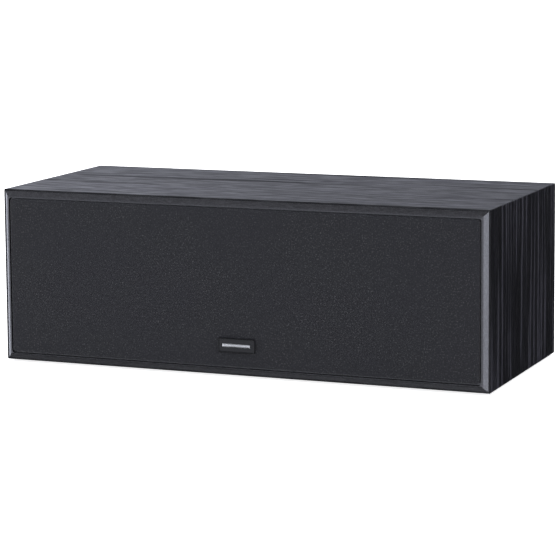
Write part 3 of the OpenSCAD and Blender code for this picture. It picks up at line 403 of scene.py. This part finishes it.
def soft_cloth(name, tone, tint, pitch=0.8 * MM, roughness=0.8):
    """Plain weave on Object coordinates, for the small cloth parts of the drivers.

    The colour is darker between the threads, which is painted shade, and varies in random patches.
    """
    finish = Finish(name, Specular_IOR_Level=0.3)
    x, y, z = finish.place()
    warp = (x * (2 * math.pi / pitch)).math("SINE")
    weft = (z * (2 * math.pi / pitch)).math("SINE")
    weave = warp * weft * 0.5 + 0.5
    patch = finish.noise(x * 60, y * 60, z * 60, detail=3)
    # Painted shade between the threads of the weave, with random patches of tone.
    weave_shade_and_patch = weave * 0.6 + patch * 0.4
    finish.wear(Base_Color=finish.mix(weave_shade_and_patch, shade(tone * 0.7, tint), shade(tone * 1.2, tint)))
    finish.wear(Roughness=roughness - 0.1 + 0.2 * patch)
    return finish.bump(weave, 0.08 * MM, 0.6).material


# %% [markdown]
# ## Pulp, rubber and fibre
#
# Paper pulp and wadding have fibres that lie every way; rubber is even, with a little bloom on it.

# %% Pulp, rubber and wadding


def pulp():
    """Black paper pulp with its fibres drawn out from front to back."""
    finish = Finish("cone_pulp", Specular_IOR_Level=0.35)
    x, y, z = finish.place()
    fibre = finish.noise(x / (0.5 * MM), y / (2.5 * MM), z / (0.5 * MM), detail=4, roughness=0.7)
    blotch = finish.noise(x * 70, y * 70, z * 70, detail=3)
    tone = fibre.step(0.35, 0.65) * 0.7 + blotch * 0.3
    finish.wear(Base_Color=finish.mix(tone, shade(0.014), shade(0.04, (1, 1, 1.05))))
    finish.wear(Roughness=0.5 + 0.25 * fibre)
    return finish.bump(fibre, 0.06 * MM, 0.7).material


def rubber(name, tone=0.018, roughness=0.55):
    """Even rubber with a slow bloom that makes it paler and duller in places."""
    finish = Finish(name, Specular_IOR_Level=0.45)
    x, y, z = finish.place()
    bloom = finish.noise(x * 45, y * 45, z * 45, detail=4)
    skin = finish.noise(x / (0.25 * MM), y / (0.25 * MM), z / (0.25 * MM))
    finish.wear(Base_Color=finish.mix(
        bloom.step(0.35, 0.75), shade(tone * 0.8), shade(tone * 1.5, (1, 1, 1.03))))
    finish.wear(Roughness=roughness - 0.06 + 0.16 * bloom)
    return finish.bump(skin, 0.01 * MM, 0.5).material


def wadding():
    """White fibres that lie in tufts."""
    finish = Finish("white_wadding", Specular_IOR_Level=0.2, Sheen_Weight=0.3)
    x, y, z = finish.place()
    fibre = finish.noise(x / (1.2 * MM), y / (6 * MM), z / (1.2 * MM), detail=5, roughness=0.75)
    tuft = finish.noise(x / (9 * MM), y / (9 * MM), z / (9 * MM), detail=3)
    finish.wear(Base_Color=finish.mix(fibre * 0.5 + tuft * 0.5, shade(0.52), shade(0.86, (1, 1, 0.97))))
    finish.wear(Roughness=0.85 + 0.1 * fibre)
    return finish.bump(fibre * 0.6 + tuft, 0.9 * MM, 0.8).material


# %% [markdown]
# ## A finish for every slot
#
# The record names one slot for each kind of surface. A table from slot to finish dresses all the solids
# at once.

# %% Dress the solids
black = (1, 1, 1.04)
finishes = {
    "ash_foil": ash_foil(),
    # The black rim's grain has a painted highlight on its tops.
    "moulded_black": moulded("moulded_black", 0.01, 0.36, 1.3 * MM, 0.2 * MM, tint=(1, 1, 1.12), speckle=0.5),
    "board_black": moulded("board_black", 0.02, 0.55, grain=0.8 * MM, depth=0.05 * MM),
    "frame_plastic": moulded("frame_plastic", 0.02, 0.5),
    "grille_fabric": speaker_cloth(),
    "badge_gloss": moulded("badge_gloss", 0.005, 0.3, depth=0.005 * MM, specular=0.15),
    "black_rubber": rubber("black_rubber"),
    "basket_steel": metal("basket_steel", (0.03, 0.03, 0.032), 0.45, metallic=0.2),
    "trim_plastic": moulded("trim_plastic", 0.02, 0.38, grain=0.5 * MM),
    "surround_rubber": rubber("surround_rubber", 0.014, 0.48),
    "cone_pulp": pulp(),
    "cap_cloth": soft_cloth("cap_cloth", 0.022, black, roughness=0.55),
    "spider_cloth": soft_cloth("spider_cloth", 0.5, (1, 0.66, 0.24)),
    "copper_wire": wound_wire(),
    "plated_steel": metal("plated_steel", (0.33, 0.33, 0.32), 0.36),
    "ferrite": moulded("ferrite", 0.05, 0.62, grain=0.6 * MM, depth=0.06 * MM),
    "terminal_brass": metal("terminal_brass", (0.78, 0.7, 0.52), 0.3),
    "dome_silk": soft_cloth("dome_silk", 0.014, black, pitch=0.45 * MM, roughness=0.45),
    "black_screws": metal("black_screws", (0.02, 0.02, 0.021), 0.35, metallic=0.6),
    "back_plastic": moulded("back_plastic", 0.018, 0.42, grain=0.6 * MM, depth=0.04 * MM),
    "gold_brass": metal("gold_brass", (0.86, 0.6, 0.22), 0.2),
    "cap_red": moulded("cap_red", 0.33, 0.2, depth=0.004 * MM, tint=(1, 0.06, 0.05)),
    "cap_black": moulded("cap_black", 0.014, 0.2, depth=0.004 * MM),
    "board_laminate": moulded("board_laminate", 0.2, 0.4, tint=(0.4, 1, 0.5)),
    "white_nylon": moulded("white_nylon", 0.72, 0.5, tint=(1, 0.99, 0.93)),
    "film_blue": moulded("film_blue", 0.25, 0.24, tint=(0.25, 0.5, 1)),
    "film_red": moulded("film_red", 0.33, 0.26, tint=(1, 0.18, 0.13)),
    "cement": moulded("cement", 0.68, 0.8, grain=0.5 * MM, depth=0.08 * MM, tint=(1, 0.98, 0.9)),
    "lead_sheath": rubber("lead_sheath", 0.03, 0.45),
    "white_wadding": wadding(),
}
for part in frame["record"]["subparts"]:
    mesh = nodes[part["node"]].data
    mesh.materials.clear()
    mesh.materials.append(finishes[part["material_slot"]])

# %% [markdown]
# ## Surfaces from grids of points
#
# Every new piece is a surface: a grid of points worked out by a formula, with a face between each four
# neighbours. A closed direction joins its last row to its first, and points that fall together at a pole
# are welded afterwards.

# %% Grid to mesh


def surface(name, points, around=(False, False), flat_map=None, seam=1e-6):
    """Makes a mesh object from points[row, column], in metres.

    The two values of around say which directions close on themselves. Each face takes the points
    (i, j), (i, j + 1), (i + 1, j + 1) and (i + 1, j).
    """
    rows, columns = points.shape[:2]
    i, j = np.meshgrid(
        np.arange(rows - 1 + around[0]), np.arange(columns - 1 + around[1]), indexing="ij")
    corners = [(i, j), (i, j + 1), (i + 1, j + 1), (i + 1, j)]
    faces = np.stack([(a % rows) * columns + b % columns for a, b in corners], axis=-1).reshape(-1, 4)
    mesh = bpy.data.meshes.new(name)
    mesh.vertices.add(rows * columns)
    mesh.vertices.foreach_set("co", points.reshape(-1).astype(np.float32))
    mesh.loops.add(faces.size)
    mesh.loops.foreach_set("vertex_index", faces.reshape(-1).astype(np.int32))
    mesh.polygons.add(len(faces))
    mesh.polygons.foreach_set("loop_start", np.arange(0, faces.size, 4, dtype=np.int32))
    if flat_map is not None:
        layer = mesh.uv_layers.new(name="flat")
        corner_map = flat_map.reshape(-1, 2)[faces.reshape(-1)]
        layer.uv.foreach_set("vector", corner_map.reshape(-1).astype(np.float32))
    mesh.update(calc_edges=True)
    mesh.validate()
    piece = bpy.data.objects.new(name, mesh)
    bpy.context.scene.collection.objects.link(piece)
    weld(piece, seam)
    return piece


def weld(piece, gap):
    """Merges points closer than gap and turns the faces outwards."""
    loose = bmesh.new()
    loose.from_mesh(piece.data)
    bmesh.ops.remove_doubles(loose, verts=loose.verts, dist=gap)
    bmesh.ops.dissolve_degenerate(loose, edges=loose.edges, dist=gap)
    bmesh.ops.recalc_face_normals(loose, faces=loose.faces)
    loose.to_mesh(piece.data)
    loose.free()


def smooth(piece, sharp_degrees=40):
    """Smooth shading, with creases kept where faces meet at more than the angle."""
    mesh = piece.data
    mesh.polygons.foreach_set("use_smooth", np.ones(len(mesh.polygons), bool))
    mesh.set_sharp_from_angle(angle=math.radians(sharp_degrees))
    return piece


def dress(piece, slot, body=None, stands_for=()):
    """Finishes a new piece: its material and slot, the body that it rides on and the solids it replaces."""
    piece.data.materials.append(finishes[slot])
    if stands_for:
        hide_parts(*stands_for)
    if body:
        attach(piece, body)
    print(f"{piece.name}: {len(piece.data.polygons)} faces")
    return piece


# %% [markdown]
# ## Outlines that follow a rounded rectangle
#
# The grille and the badge are rounded rectangles. Both are made by one formula: the outline is walked
# once, and rings run from a line in the middle out to it and over the edge, each with its own inset and
# height.

# %% Rounded rectangle rings


def rounded_outline(width, height, radius, inset, corner_steps=14, edge_step=6 * MM):
    """Points of a rounded rectangle drawn in by inset, as rows of x and z, and the outward direction at each.

    Each corner is a quarter circle about its own centre, centre + (radius - inset) * (cos a, sin a), and the
    straight run after it has evenly spaced points.
    """
    angles, centres = [], []
    for k, (sx, sz) in enumerate([(1, 1), (-1, 1), (-1, -1), (1, -1)]):
        a = np.linspace(0, math.pi / 2, corner_steps) + k * math.pi / 2
        angles.append(a)
        centres.append(np.tile([sx * (width / 2 - radius), sz * (height / 2 - radius)], (corner_steps, 1)))
        run = (height if k % 2 else width) - 2 * radius
        count = int(run / edge_step)
        share = np.linspace(0, 1, count + 2)[1:-1, None]
        step = np.array([-sx, 0] if k % 2 == 0 else [0, -sz]) * run
        angles.append(np.full(count, a[-1]))
        centres.append(centres[-1][-1] + share * step)
    a, c = np.concatenate(angles), np.concatenate(centres)
    outward = np.stack([np.cos(a), np.sin(a)], axis=-1)
    return c + (radius - inset) * outward, outward


def spine(points, width, height):
    """The nearest points on the line in the middle of the long rectangle, where its rings start."""
    reach = (width - height) / 2
    return np.stack([np.clip(points[:, 0], -reach, reach), np.zeros(len(points))], axis=-1)


# %% [markdown]
# ## The grille's cloth
#
# The cloth is stretched over the frame and glued to its back. A flat plate would look dead, so the sheet
# is carried round the frame's edge on a small radius, and it dips a little over the three round windows
# where nothing backs it. Its flat map keeps the length of the cloth as it was cut, so the knit turns over
# the edge without a break.

# %% Stretched cloth
cloth_w, cloth_h = cloth_high.x - cloth_low.x, cloth_high.z - cloth_low.z
cloth_t = 0.6 * MM
cloth_corner = 2.5 * MM
cloth_bend = 1.1 * MM
cloth_lap = 6 * MM
window_dip = 0.35 * MM
woofer_window_r, tweeter_window_r = 51 * MM, 33 * MM
pucker_rise, pucker_reach = 0.4 * MM, 2.5 * MM
pucker_in_x, pucker_in_z = 6 * MM, 5 * MM
cloth_middle_z = (cloth_low.z + cloth_high.z) / 2
cloth_front, cloth_back = cloth_low.y, cloth_high.y


def stretched_cloth():
    """Rings: a share of the way from the spine to the edge, a quarter turn over it, its side, the lap behind.

    At distance d from the middle of a window of radius r the face dips by window_dip * (1 - (d / r)^2) where
    that is positive. Near each corner, where the folded cloth is bunched, it rises by
    pucker_rise * exp(-(d / pucker_reach)^2).
    """
    edge, outward = rounded_outline(cloth_w, cloth_h, cloth_corner, cloth_bend)
    start = spine(edge, cloth_w, cloth_h)
    face_share = np.linspace(0, 1, 42)[:, None, None]
    face = start + (edge - start) * face_share
    turn = np.linspace(0, math.pi / 2, 7)[1:, None, None]
    over = edge + outward * cloth_bend * np.sin(turn)
    side_depth = cloth_back - cloth_front - 2 * cloth_bend
    back = edge + outward * cloth_bend * np.cos(turn)
    lap_share = np.linspace(0, 1, 4)[1:, None, None]
    lap = edge - outward * (cloth_lap - cloth_bend) * lap_share
    flat_places = np.concatenate([face, over, back, lap])
    depth = np.concatenate([
        np.zeros(len(face)),
        cloth_bend * (1 - np.cos(turn[:, 0, 0])),
        cloth_bend + side_depth + cloth_bend * np.sin(turn[:, 0, 0]),
        np.full(len(lap), 2 * cloth_bend + side_depth)])
    run = np.concatenate([
        np.zeros(len(face)),
        cloth_bend * turn[:, 0, 0],
        cloth_bend * (math.pi / 2 + turn[:, 0, 0]) + side_depth,
        cloth_bend * math.pi + side_depth + (cloth_lap - cloth_bend) * lap_share[:, 0, 0]])
    dip = np.zeros(flat_places.shape[:2])
    windows = ((-woofer_x, woofer_window_r), (0, tweeter_window_r), (woofer_x, woofer_window_r))
    for middle, radius in windows:
        d2 = (flat_places[..., 0] - middle) ** 2 + flat_places[..., 1] ** 2
        dip = np.maximum(dip, window_dip * (1 - d2 / radius ** 2))
    pucker_x, pucker_z = cloth_w / 2 - pucker_in_x, cloth_h / 2 - pucker_in_z
    d2 = (abs(flat_places[..., 0]) - pucker_x) ** 2 + (abs(flat_places[..., 1]) - pucker_z) ** 2
    dip -= pucker_rise * np.exp(-d2 / pucker_reach ** 2)
    dip[len(face):] = 0
    points = np.stack([
        flat_places[..., 0],
        cloth_front + depth[:, None] + dip,
        cloth_middle_z + flat_places[..., 1]], axis=-1)
    flat_map = np.where(run[:, None, None] > 0, edge + outward * run[:, None, None], flat_places)
    return surface("stretched_cloth", points, (False, True), flat_map, seam=2e-6)


grille_sheet = smooth(stretched_cloth(), 60)
thickness = grille_sheet.modifiers.new("thickness", "SOLIDIFY")
thickness.thickness = cloth_t
thickness.offset = -1
dress(grille_sheet, "grille_fabric", "grille", ["grille_cloth"])

# %% [markdown]
# ## The badge
#
# A small moulded plate sits low on the grille. Its place holds a plain raised bar instead of a name.
# Rings again: a rounded edge, a raised border, a sunk field. The bar is a second set of rings on the
# field.

# %% Badge


def ring_plate(name, width, height, radius, steps, middle_x, middle_z, plane_y):
    """A closed plate, made of rings from its back edge to its middle.

    Each of the steps is (inset, how far that ring stands in front of plane_y).
    """
    rings = []
    for inset, rise in steps:
        edge, _ = rounded_outline(width, height, radius, min(inset, radius * 0.98), 8, 3 * MM)
        rings.append(np.column_stack([
            middle_x + edge[:, 0], np.full(len(edge), plane_y - rise), middle_z + edge[:, 1]]))
    edge, _ = rounded_outline(width, height, radius, 0, 8, 3 * MM)
    middle = spine(edge, width, height)
    for rise, place in ((steps[-1][1], len(rings)), (steps[0][1], 0)):
        rings.insert(place, np.column_stack([
            middle_x + middle[:, 0], np.full(len(edge), plane_y - rise), middle_z + middle[:, 1]]))
    return smooth(surface(name, np.array(rings), (False, True), seam=2e-6), 35)


badge_w, badge_h = badge_high.x - badge_low.x, badge_high.z - badge_low.z
badge_x, badge_z = (badge_low.x + badge_high.x) / 2, (badge_low.z + badge_high.z) / 2
badge_t = cloth_front - badge_low.y
badge_corner = 1.2 * MM
badge_steps = [
    (0, 0), (0, badge_t - 0.4 * MM), (0.12 * MM, badge_t - 0.12 * MM), (0.4 * MM, badge_t),
    (0.75 * MM, badge_t - 0.05 * MM), (0.95 * MM, badge_t - 0.7 * MM)]
plate = ring_plate("badge_plate", badge_w, badge_h, badge_corner, badge_steps, badge_x, badge_z, cloth_front)
dress(plate, "badge_gloss", "grille", ["badge"])

# %% [markdown]
# The bar is moulded with the plate, and its edge is rounded in the same way.

# %% The badge's raised bar
bar_w, bar_h, bar_corner = 25 * MM, 3.2 * MM, 0.6 * MM
bar_steps = [
    (0, badge_t - 0.75 * MM), (0, badge_t - 0.3 * MM), (0.09 * MM, badge_t - 0.09 * MM), (0.3 * MM, badge_t)]
bar = ring_plate("badge_bar", bar_w, bar_h, bar_corner, bar_steps, badge_x, badge_z, cloth_front)
dress(bar, "plated_steel", "grille")

# %% [markdown]
# ## Turned pieces of the drivers
#
# Cones, caps and surrounds are thin sheets turned round an axis. One helper thickens a path into a closed
# outline and another turns it. The real ones are pressed or moulded to these same paths: the cone's is a
# little bowed, which stiffens it, and the surround's is half a roll, which lets the cone travel.

# %% Thin turned sheets


def thick(path, thickness):
    """Closed outline of a sheet: the path, then back along the path moved out along its left normal."""
    along = np.gradient(path, axis=0)
    along /= np.linalg.norm(along, axis=1, keepdims=True)
    left = np.stack([-along[:, 1], along[:, 0]], axis=-1)
    return np.concatenate([path, (path + thickness * left)[::-1]])


def turned(name, outline, axis_x, steps=120):
    """Turns an outline of (radius, height in front of the drivers' seat) round a driver's axis.

    A point is (axis_x + radius cos a, seat_y - height, mid_z + radius sin a).
    """
    angle = np.linspace(0, 2 * math.pi, steps, endpoint=False)
    radius, height = outline[:, :1], outline[:, 1:]
    points = np.stack([
        axis_x + radius * np.cos(angle),
        seat_y - height + 0 * angle,
        mid_z + radius * np.sin(angle)], axis=-1)
    return smooth(surface(name, points, (True, True)), 50)


# %% [markdown]
# A woofer's heights are measured from the plane that the drivers are seated on. The cone starts just
# outside the coil's former, the cap is glued on its inner part, and the surround has a lip on the cone
# and a lip on the flange.

# %% The woofer's paths
coil_r, cone_r, cone_depth, cone_edge = 12.9 * MM, 38.8 * MM, 16.8 * MM, 3.2 * MM
cone_t, cap_t, surround_t = 0.7 * MM, 0.5 * MM, 0.8 * MM
former_gap = 0.3 * MM
cap_r, cap_rise, cap_glue = 15 * MM, 4 * MM, 0.85 * MM
roll_gap, roll_lift, roll_rise = 0.6 * MM, 0.5 * MM, 4 * MM
roll_end_r, flange_height, flange_r = 47.4 * MM, 1.3 * MM, 51 * MM
lip_start_r, lip_end_r, lip_lift = 35.4 * MM, 38.4 * MM, 1 * MM


def cone_height(r):
    """Height of the cone's back face: from -cone_depth at the coil to -cone_edge at the rim.

    It rises as 1.3 s - 0.3 s^2 while s runs from 0 to 1, which bows it.
    """
    s = (r - coil_r) / (cone_r - coil_r)
    return -cone_depth + (cone_depth - cone_edge) * (1.3 * s - 0.3 * s ** 2)


def cone_path():
    """The cone's back face from the former outwards."""
    r = np.linspace(coil_r + former_gap, cone_r, 30)
    return np.column_stack([r, cone_height(r)])


def cap_path():
    """A shallow dome on the cone: base + cap_rise * (1 - (r / cap_r)^2)."""
    r = np.linspace(0, cap_r, 18)
    return np.column_stack([r, cone_height(cap_r) + cap_glue + cap_rise * (1 - (r / r[-1]) ** 2)])


def surround_path():
    """Lip on the cone, half roll, lip on the flange.

    Over the roll the radius is spaced as (1 - cos a) / 2, and the height is the straight line between the
    ends of the roll plus roll_rise * sin a.
    """
    start = np.array([cone_r + roll_gap, cone_height(cone_r) + cone_t + roll_lift])
    end = np.array([roll_end_r, flange_height])
    a = np.linspace(0, math.pi, 32)
    roll = np.column_stack([
        start[0] + (end[0] - start[0]) * (1 - np.cos(a)) / 2,
        start[1] + (end[1] - start[1]) * a / math.pi + roll_rise * np.sin(a)])
    lip_r = np.linspace(lip_start_r, lip_end_r, 4)
    lip = np.column_stack([lip_r, cone_height(lip_r) + lip_lift])
    return np.vstack([lip, roll, [[flange_r, end[1]]]])


# %% [markdown]
# The cone and the cap ride on the diaphragm. The surround's outer lip stays with the cabinet, so here the
# surround rides on no body.

# %% Cones, dust caps and surrounds
for side, axis_x in (("left", -woofer_x), ("right", woofer_x)):
    body = f"woofer_{side}_diaphragm"
    cone = turned(f"{side}_cone", thick(cone_path(), cone_t), axis_x)
    dress(cone, "cone_pulp", body, [f"woofer_{side}_cone"])
    cap = turned(f"{side}_dust_cap", thick(cap_path(), cap_t), axis_x)
    dress(cap, "cap_cloth", body, [f"woofer_{side}_dust_cap"])
    surround = turned(f"{side}_surround", thick(surround_path(), surround_t), axis_x)
    dress(surround, "surround_rubber", None, [f"woofer_{side}_surround"])
    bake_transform(surround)

# %% [markdown]
# The tweeter's dome is pressed from coated silk in one piece with its own small roll. Its flange stays
# clamped, and here the whole piece rides on no body.

# %% Tweeter dome
dome_r, dome_rise, dome_base, dome_t = 12.7 * MM, 4.8 * MM, -0.5 * MM, 0.4 * MM
silk_roll_r, silk_roll_w, silk_roll_rise, silk_flange_r = 13 * MM, 2.5 * MM, 1.1 * MM, 19.3 * MM


def dome_path():
    """Cap of dome_rise * (1 - (r / dome_r)^2), a half roll of silk_roll_rise * sin a, and a flat flange."""
    r = np.linspace(0, dome_r, 20)
    cap = np.column_stack([r, dome_base + dome_rise * (1 - (r / r[-1]) ** 2)])
    a = np.linspace(0, math.pi, 14)
    roll = np.column_stack([
        silk_roll_r + silk_roll_w * a / math.pi, dome_base + silk_roll_rise * np.sin(a)])
    return np.vstack([cap, roll, [[silk_flange_r, dome_base]]])


dome = turned("tweeter_silk", thick(dome_path(), dome_t), 0)
dress(dome, "dome_silk", None, ["tweeter_dome"])
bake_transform(dome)

# %% [markdown]
# ## Wadding
#
# Each end of the cabinet holds a pad of polyester wadding that soaks up the sound behind the cones. A pad
# is rings of a rounded rectangle again, with a soft edge and shallow tufts.

# %% Wadding pads
pad_corner, pad_edge_step = 14 * MM, 5 * MM
soft_share = 0.9
face_rings = 26
tuft_depth = 1.5 * MM


def wadding_pad(name, low, high):
    """Rings from one face's spine over the soft edge to the other face.

    The faces sink by tuft_depth * (sin(110 y + sin 60 z) * sin(130 z + 1))^2, with y and z counted from the
    middle of the pad.
    """
    depth, height, wide = high.y - low.y, high.z - low.z, high.x - low.x
    soft = wide / 2 * soft_share
    edge, outward = rounded_outline(depth, height, pad_corner, soft, 10, pad_edge_step)
    start = spine(edge, depth, height)
    share = np.linspace(0, 1, face_rings)[:, None, None]
    face = start + (edge - start) * share
    a = np.linspace(0, math.pi, 19)[1:-1, None, None]
    rim = edge + outward * soft * np.sin(a)
    flat = np.concatenate([face, rim, face[::-1]])
    half = wide / 2
    across = np.concatenate([
        np.full(face_rings, half), half * np.cos(a[:, 0, 0]), np.full(face_rings, -half)])[:, None]
    waves = (np.sin(flat[..., 0] * 110 + np.sin(flat[..., 1] * 60)) * np.sin(flat[..., 1] * 130 + 1)) ** 2
    sunk = across * (1 - tuft_depth / half * waves)
    middle = (low + high) / 2
    points = np.stack([middle.x + sunk, middle.y + flat[..., 0], middle.z + flat[..., 1]], axis=-1)
    return smooth(surface(name, points, (False, True), seam=2e-6), 60)


for side in ("left", "right"):
    pad = wadding_pad(f"{side}_wadding", *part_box(f"wadding_{side}"))
    dress(pad, "white_wadding", "cabinet", [f"wadding_{side}"])

# %% [markdown]
# ## Inner leads
#
# A driver's lead is two cores twisted round each other, so that it doesn't rattle on the cabinet. Each
# follows the route of the solid lead: up from the board, across, and straight in between the driver's
# tabs. The two leads to the binding posts are single cores.

# %% Leads
lead_r = 1.6 * MM
leave_run, rise_run, tail_run, entry_run = (k * lead_r for k in (3, 6, 4, 8))
core_r, core_swing, twist_pitch = 0.74 * MM, 0.78 * MM, 11 * MM


def route(start, end, away):
    """Nine points from the board to the lead's end, as in the solid lead's own source.

    The lead leaves the board upwards and comes to its end from the direction away. Between the two it has
    gone the shares t^2, t and t of the way in x, y and z.
    """
    start, end, away = (np.array(v, float) for v in (start, end, away))
    top = start + [0, 0, rise_run]
    entry = end + away * entry_run
    span = entry - top
    climb = [top + span * [t * t, t, t] for t in (0.25, 0.6, 0.85)]
    return np.array([start, start + [0, 0, leave_run], top, *climb, entry, end + away * tail_run, end])


def smooth_line(points, steps=14):
    """Catmull-Rom curve through the points: each stretch is a cubic of its two ends and their neighbours."""
    padded = np.vstack([points[:1], points, points[-1:]])
    a, b, c, d = (padded[k:k + len(points) - 1, None] for k in range(4))
    u = np.linspace(0, 1, steps, endpoint=False)[None, :, None]
    curve = b + (c - a) * u / 2
    curve = curve + (2 * a - 5 * b + 4 * c - d) * u ** 2 / 2 + (3 * b - a - 3 * c + d) * u ** 3 / 2
    return np.vstack([curve.reshape(-1, 3), points[-1:]])


def core(name, line, radius, swing=0, start_angle=0, sides=12):
    """Tube round a line, or round a helix about it: at length s its middle lies swing away from the line.

    The helix has turned by 2 pi s / twist_pitch there.
    """
    along = np.gradient(line, axis=0)
    along /= np.linalg.norm(along, axis=1, keepdims=True)
    side = np.cross(along, [0.3, 0.5, 0.2])
    side /= np.linalg.norm(side, axis=1, keepdims=True)
    other = np.cross(along, side)
    run = np.concatenate([[0], np.cumsum(np.linalg.norm(np.diff(line, axis=0), axis=1))])
    turn = (start_angle + 2 * math.pi * run / twist_pitch)[:, None]
    middle = line + swing * (side * np.cos(turn) + other * np.sin(turn))
    ring = np.linspace(0, 2 * math.pi, sides, endpoint=False)[:, None]
    tube = middle[:, None] + radius * (side[:, None] * np.cos(ring) + other[:, None] * np.sin(ring))
    ends = np.repeat(middle[[0, -1], None], sides, axis=1)
    points = np.concatenate([ends[:1], tube, ends[1:]])
    return smooth(surface(name, points, (False, True)), 60)


# %% [markdown]
# A lead starts on the crossover board and ends between a driver's tabs or at the tail of a binding post.
# The first piece of each group stands for the group's solid.

# %% Run the leads
board_low, board_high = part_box("crossover_board")
tail_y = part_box("red_post_stem")[0].y
woofer_start_x, woofer_start_y = 50 * MM, 12 * MM
woofer_tab_x, woofer_tab_y = 41 * MM, 22.9 * MM
tweeter_start_x, tweeter_start_y = 8 * MM, 8 * MM
tweeter_tab_y, tweeter_tab_z = 8 * MM, 33.7 * MM
post_start_x, post_start_y = 50 * MM, {"black": 30 * MM, "red": 24 * MM}

driver_routes = {
    "woofer_leads": [
        ([side * woofer_start_x, board_low.y + woofer_start_y, board_high.z],
         [side * (woofer_x - woofer_tab_x), seat_y + woofer_tab_y, mid_z],
         [-side, 0, 0]) for side in (-1, 1)],
    "tweeter_lead": [
        ([tweeter_start_x, board_low.y + tweeter_start_y, board_high.z],
         [0, seat_y + tweeter_tab_y, mid_z + tweeter_tab_z],
         [0, 1, 0])],
}
for node, ends in driver_routes.items():
    for number, end in enumerate(ends):
        line = smooth_line(route(*end))
        for start_angle in (0, math.pi):
            name = f"{node}_{number}_{'b' if start_angle else 'a'}"
            wire = core(name, line, core_r, core_swing, start_angle)
            dress(wire, "lead_sheath", "cabinet", [node] if not (number or start_angle) else [])
for number, (post, start_y) in enumerate(post_start_y.items()):
    low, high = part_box(f"{post}_post_stem")
    tail = [(low.x + high.x) / 2, tail_y, mid_z]
    line = smooth_line(route([post_start_x, board_low.y + start_y, board_high.z], tail, [0, -1, 0]))
    wire = core(f"{post}_terminal_lead", line, lead_r)
    dress(wire, "lead_sheath", "cabinet", [] if number else ["terminal_leads"])

# %% [markdown]
# ## Studio
#
# The floor is a matt pale sheet that glows a little, like a light table, because the photograph was cut
# out on pure white. It is left out of reflections, so that the black rim mirrors the painted room and not
# the glow.

# %% Floor
floor_tone = 0.8
floor_glow = 0.85
reach = 40


def pale_floor():
    """Matt paper, a hundredth lighter and darker in places."""
    finish = Finish(
        "pale_floor", Specular_IOR_Level=0.0, Emission_Color=(1, 1, 1, 1), Emission_Strength=floor_glow)
    x, y, z = finish.place()
    paper = finish.noise(x * 8, y * 8, 0, detail=4)
    finish.wear(Base_Color=finish.mix(paper, shade(floor_tone * 0.99), shade(floor_tone * 1.01)))
    return finish.wear(Roughness=0.9 + 0.1 * paper).material


floor_mesh = bpy.data.meshes.new("floor")
floor_mesh.from_pydata(
    [(-reach, -reach, 0), (reach, -reach, 0), (reach, reach, 0), (-reach, reach, 0)], [], [(0, 1, 2, 3)])
floor = bpy.data.objects.new("floor", floor_mesh)
bpy.context.scene.collection.objects.link(floor)
floor_mesh.materials.append(pale_floor())
floor.visible_glossy = False

# %% [markdown]
# One light, seventy degrees wide, shines from overhead, so its shadows are soft. It too is left out of
# reflections.

# %% Overhead light
overhead_strength = 4
overhead_width = math.radians(70)

overhead = bpy.data.lights.new("overhead", "SUN")
overhead.energy = overhead_strength
overhead.angle = overhead_width
ceiling = bpy.data.objects.new("overhead", overhead)
ceiling.visible_glossy = False
bpy.context.scene.collection.objects.link(ceiling)

# %% [markdown]
# A black speaker shows mostly what it mirrors, so the room is painted on the world by direction alone: a
# pale wall all round that greys the top, brighter behind on the left; a dark flag behind on the right
# that keeps the side black; a bright band low in front for the flat rim; and an upright softbox for each
# slanted rim. Smooth steps of the three coordinates make them all. They reach below the horizon, because
# an upright face that is seen from above mirrors what lies below it. Seen straight on, past the edge of
# the floor, the room is as white as the floor.

# %% Room
dim_level, wall_level, left_wall_level = 0.02, 0.44, 0.5
low_band_level, under_level = 3.6, 0.3
right_box_level, left_box_level = 6.6, 4.2
right_box, left_box = (67, 0.2, 0.32), (-113, 0.2, 0.3)
seen_level = 1.2
room_tint = (0.95, 0.98, 1.12, 1)


class Room(Finish):
    """The world as a finish: its shader is the Background, and direction() takes the place of place()."""

    def __init__(self, name):
        self.world = bpy.data.worlds.new(name)
        self.world.use_nodes = True
        self.tree = self.world.node_tree
        self.shader = self.tree.nodes["Background"]

    def direction(self):
        """The three numbers of the unit vector that points to that spot of the room."""
        return self.split(self.node("TexCoord", output=0))

    def seen(self):
        """1 where the camera looks straight at the room and 0 for all other light."""
        return self.node("LightPath", output=0)

    def panel(self, bearing, half_width, half_height):
        """1 inside a panel at that bearing and 0 outside. The halves are sines of the angles they span."""
        x, y, z = self.direction()
        a = math.radians(bearing)
        ahead = x * math.sin(a) - y * math.cos(a)
        beside = (x * math.cos(a) + y * math.sin(a)).math("ABSOLUTE")
        inside = beside.step(half_width * 1.3, half_width * 0.7)
        return inside * ahead.step(0, 0.2) * z.math("ABSOLUTE").step(half_height * 1.3, half_height * 0.7)


def studio_room():
    """The levels of wall, flag, low band and softboxes, each times the smooth steps that bound it."""
    room = Room("studio")
    x, y, z = room.direction()
    above = z.step(-0.06, 0.02) * z.step(0.98, 0.74)
    below = z.step(0.02, -0.06) * z.step(-0.36, -0.2)
    flag = 1 - x.step(0.1, 0.35) * y.step(0.3, 0.6)
    glow = dim_level + above * flag * (wall_level + left_wall_level * x.step(-0.3, -0.6))
    glow = glow + below * y.step(0.15, -0.3) * low_band_level + z.step(-0.75, -0.95) * under_level
    glow = glow + room.panel(*right_box) * right_box_level + room.panel(*left_box) * left_box_level
    room.wear(Strength=glow + room.seen() * seen_level)
    room.shader.inputs["Color"].default_value = room_tint
    return room.world


bpy.context.scene.world = studio_room()
bpy.context.scene.view_settings.view_transform = "Standard"
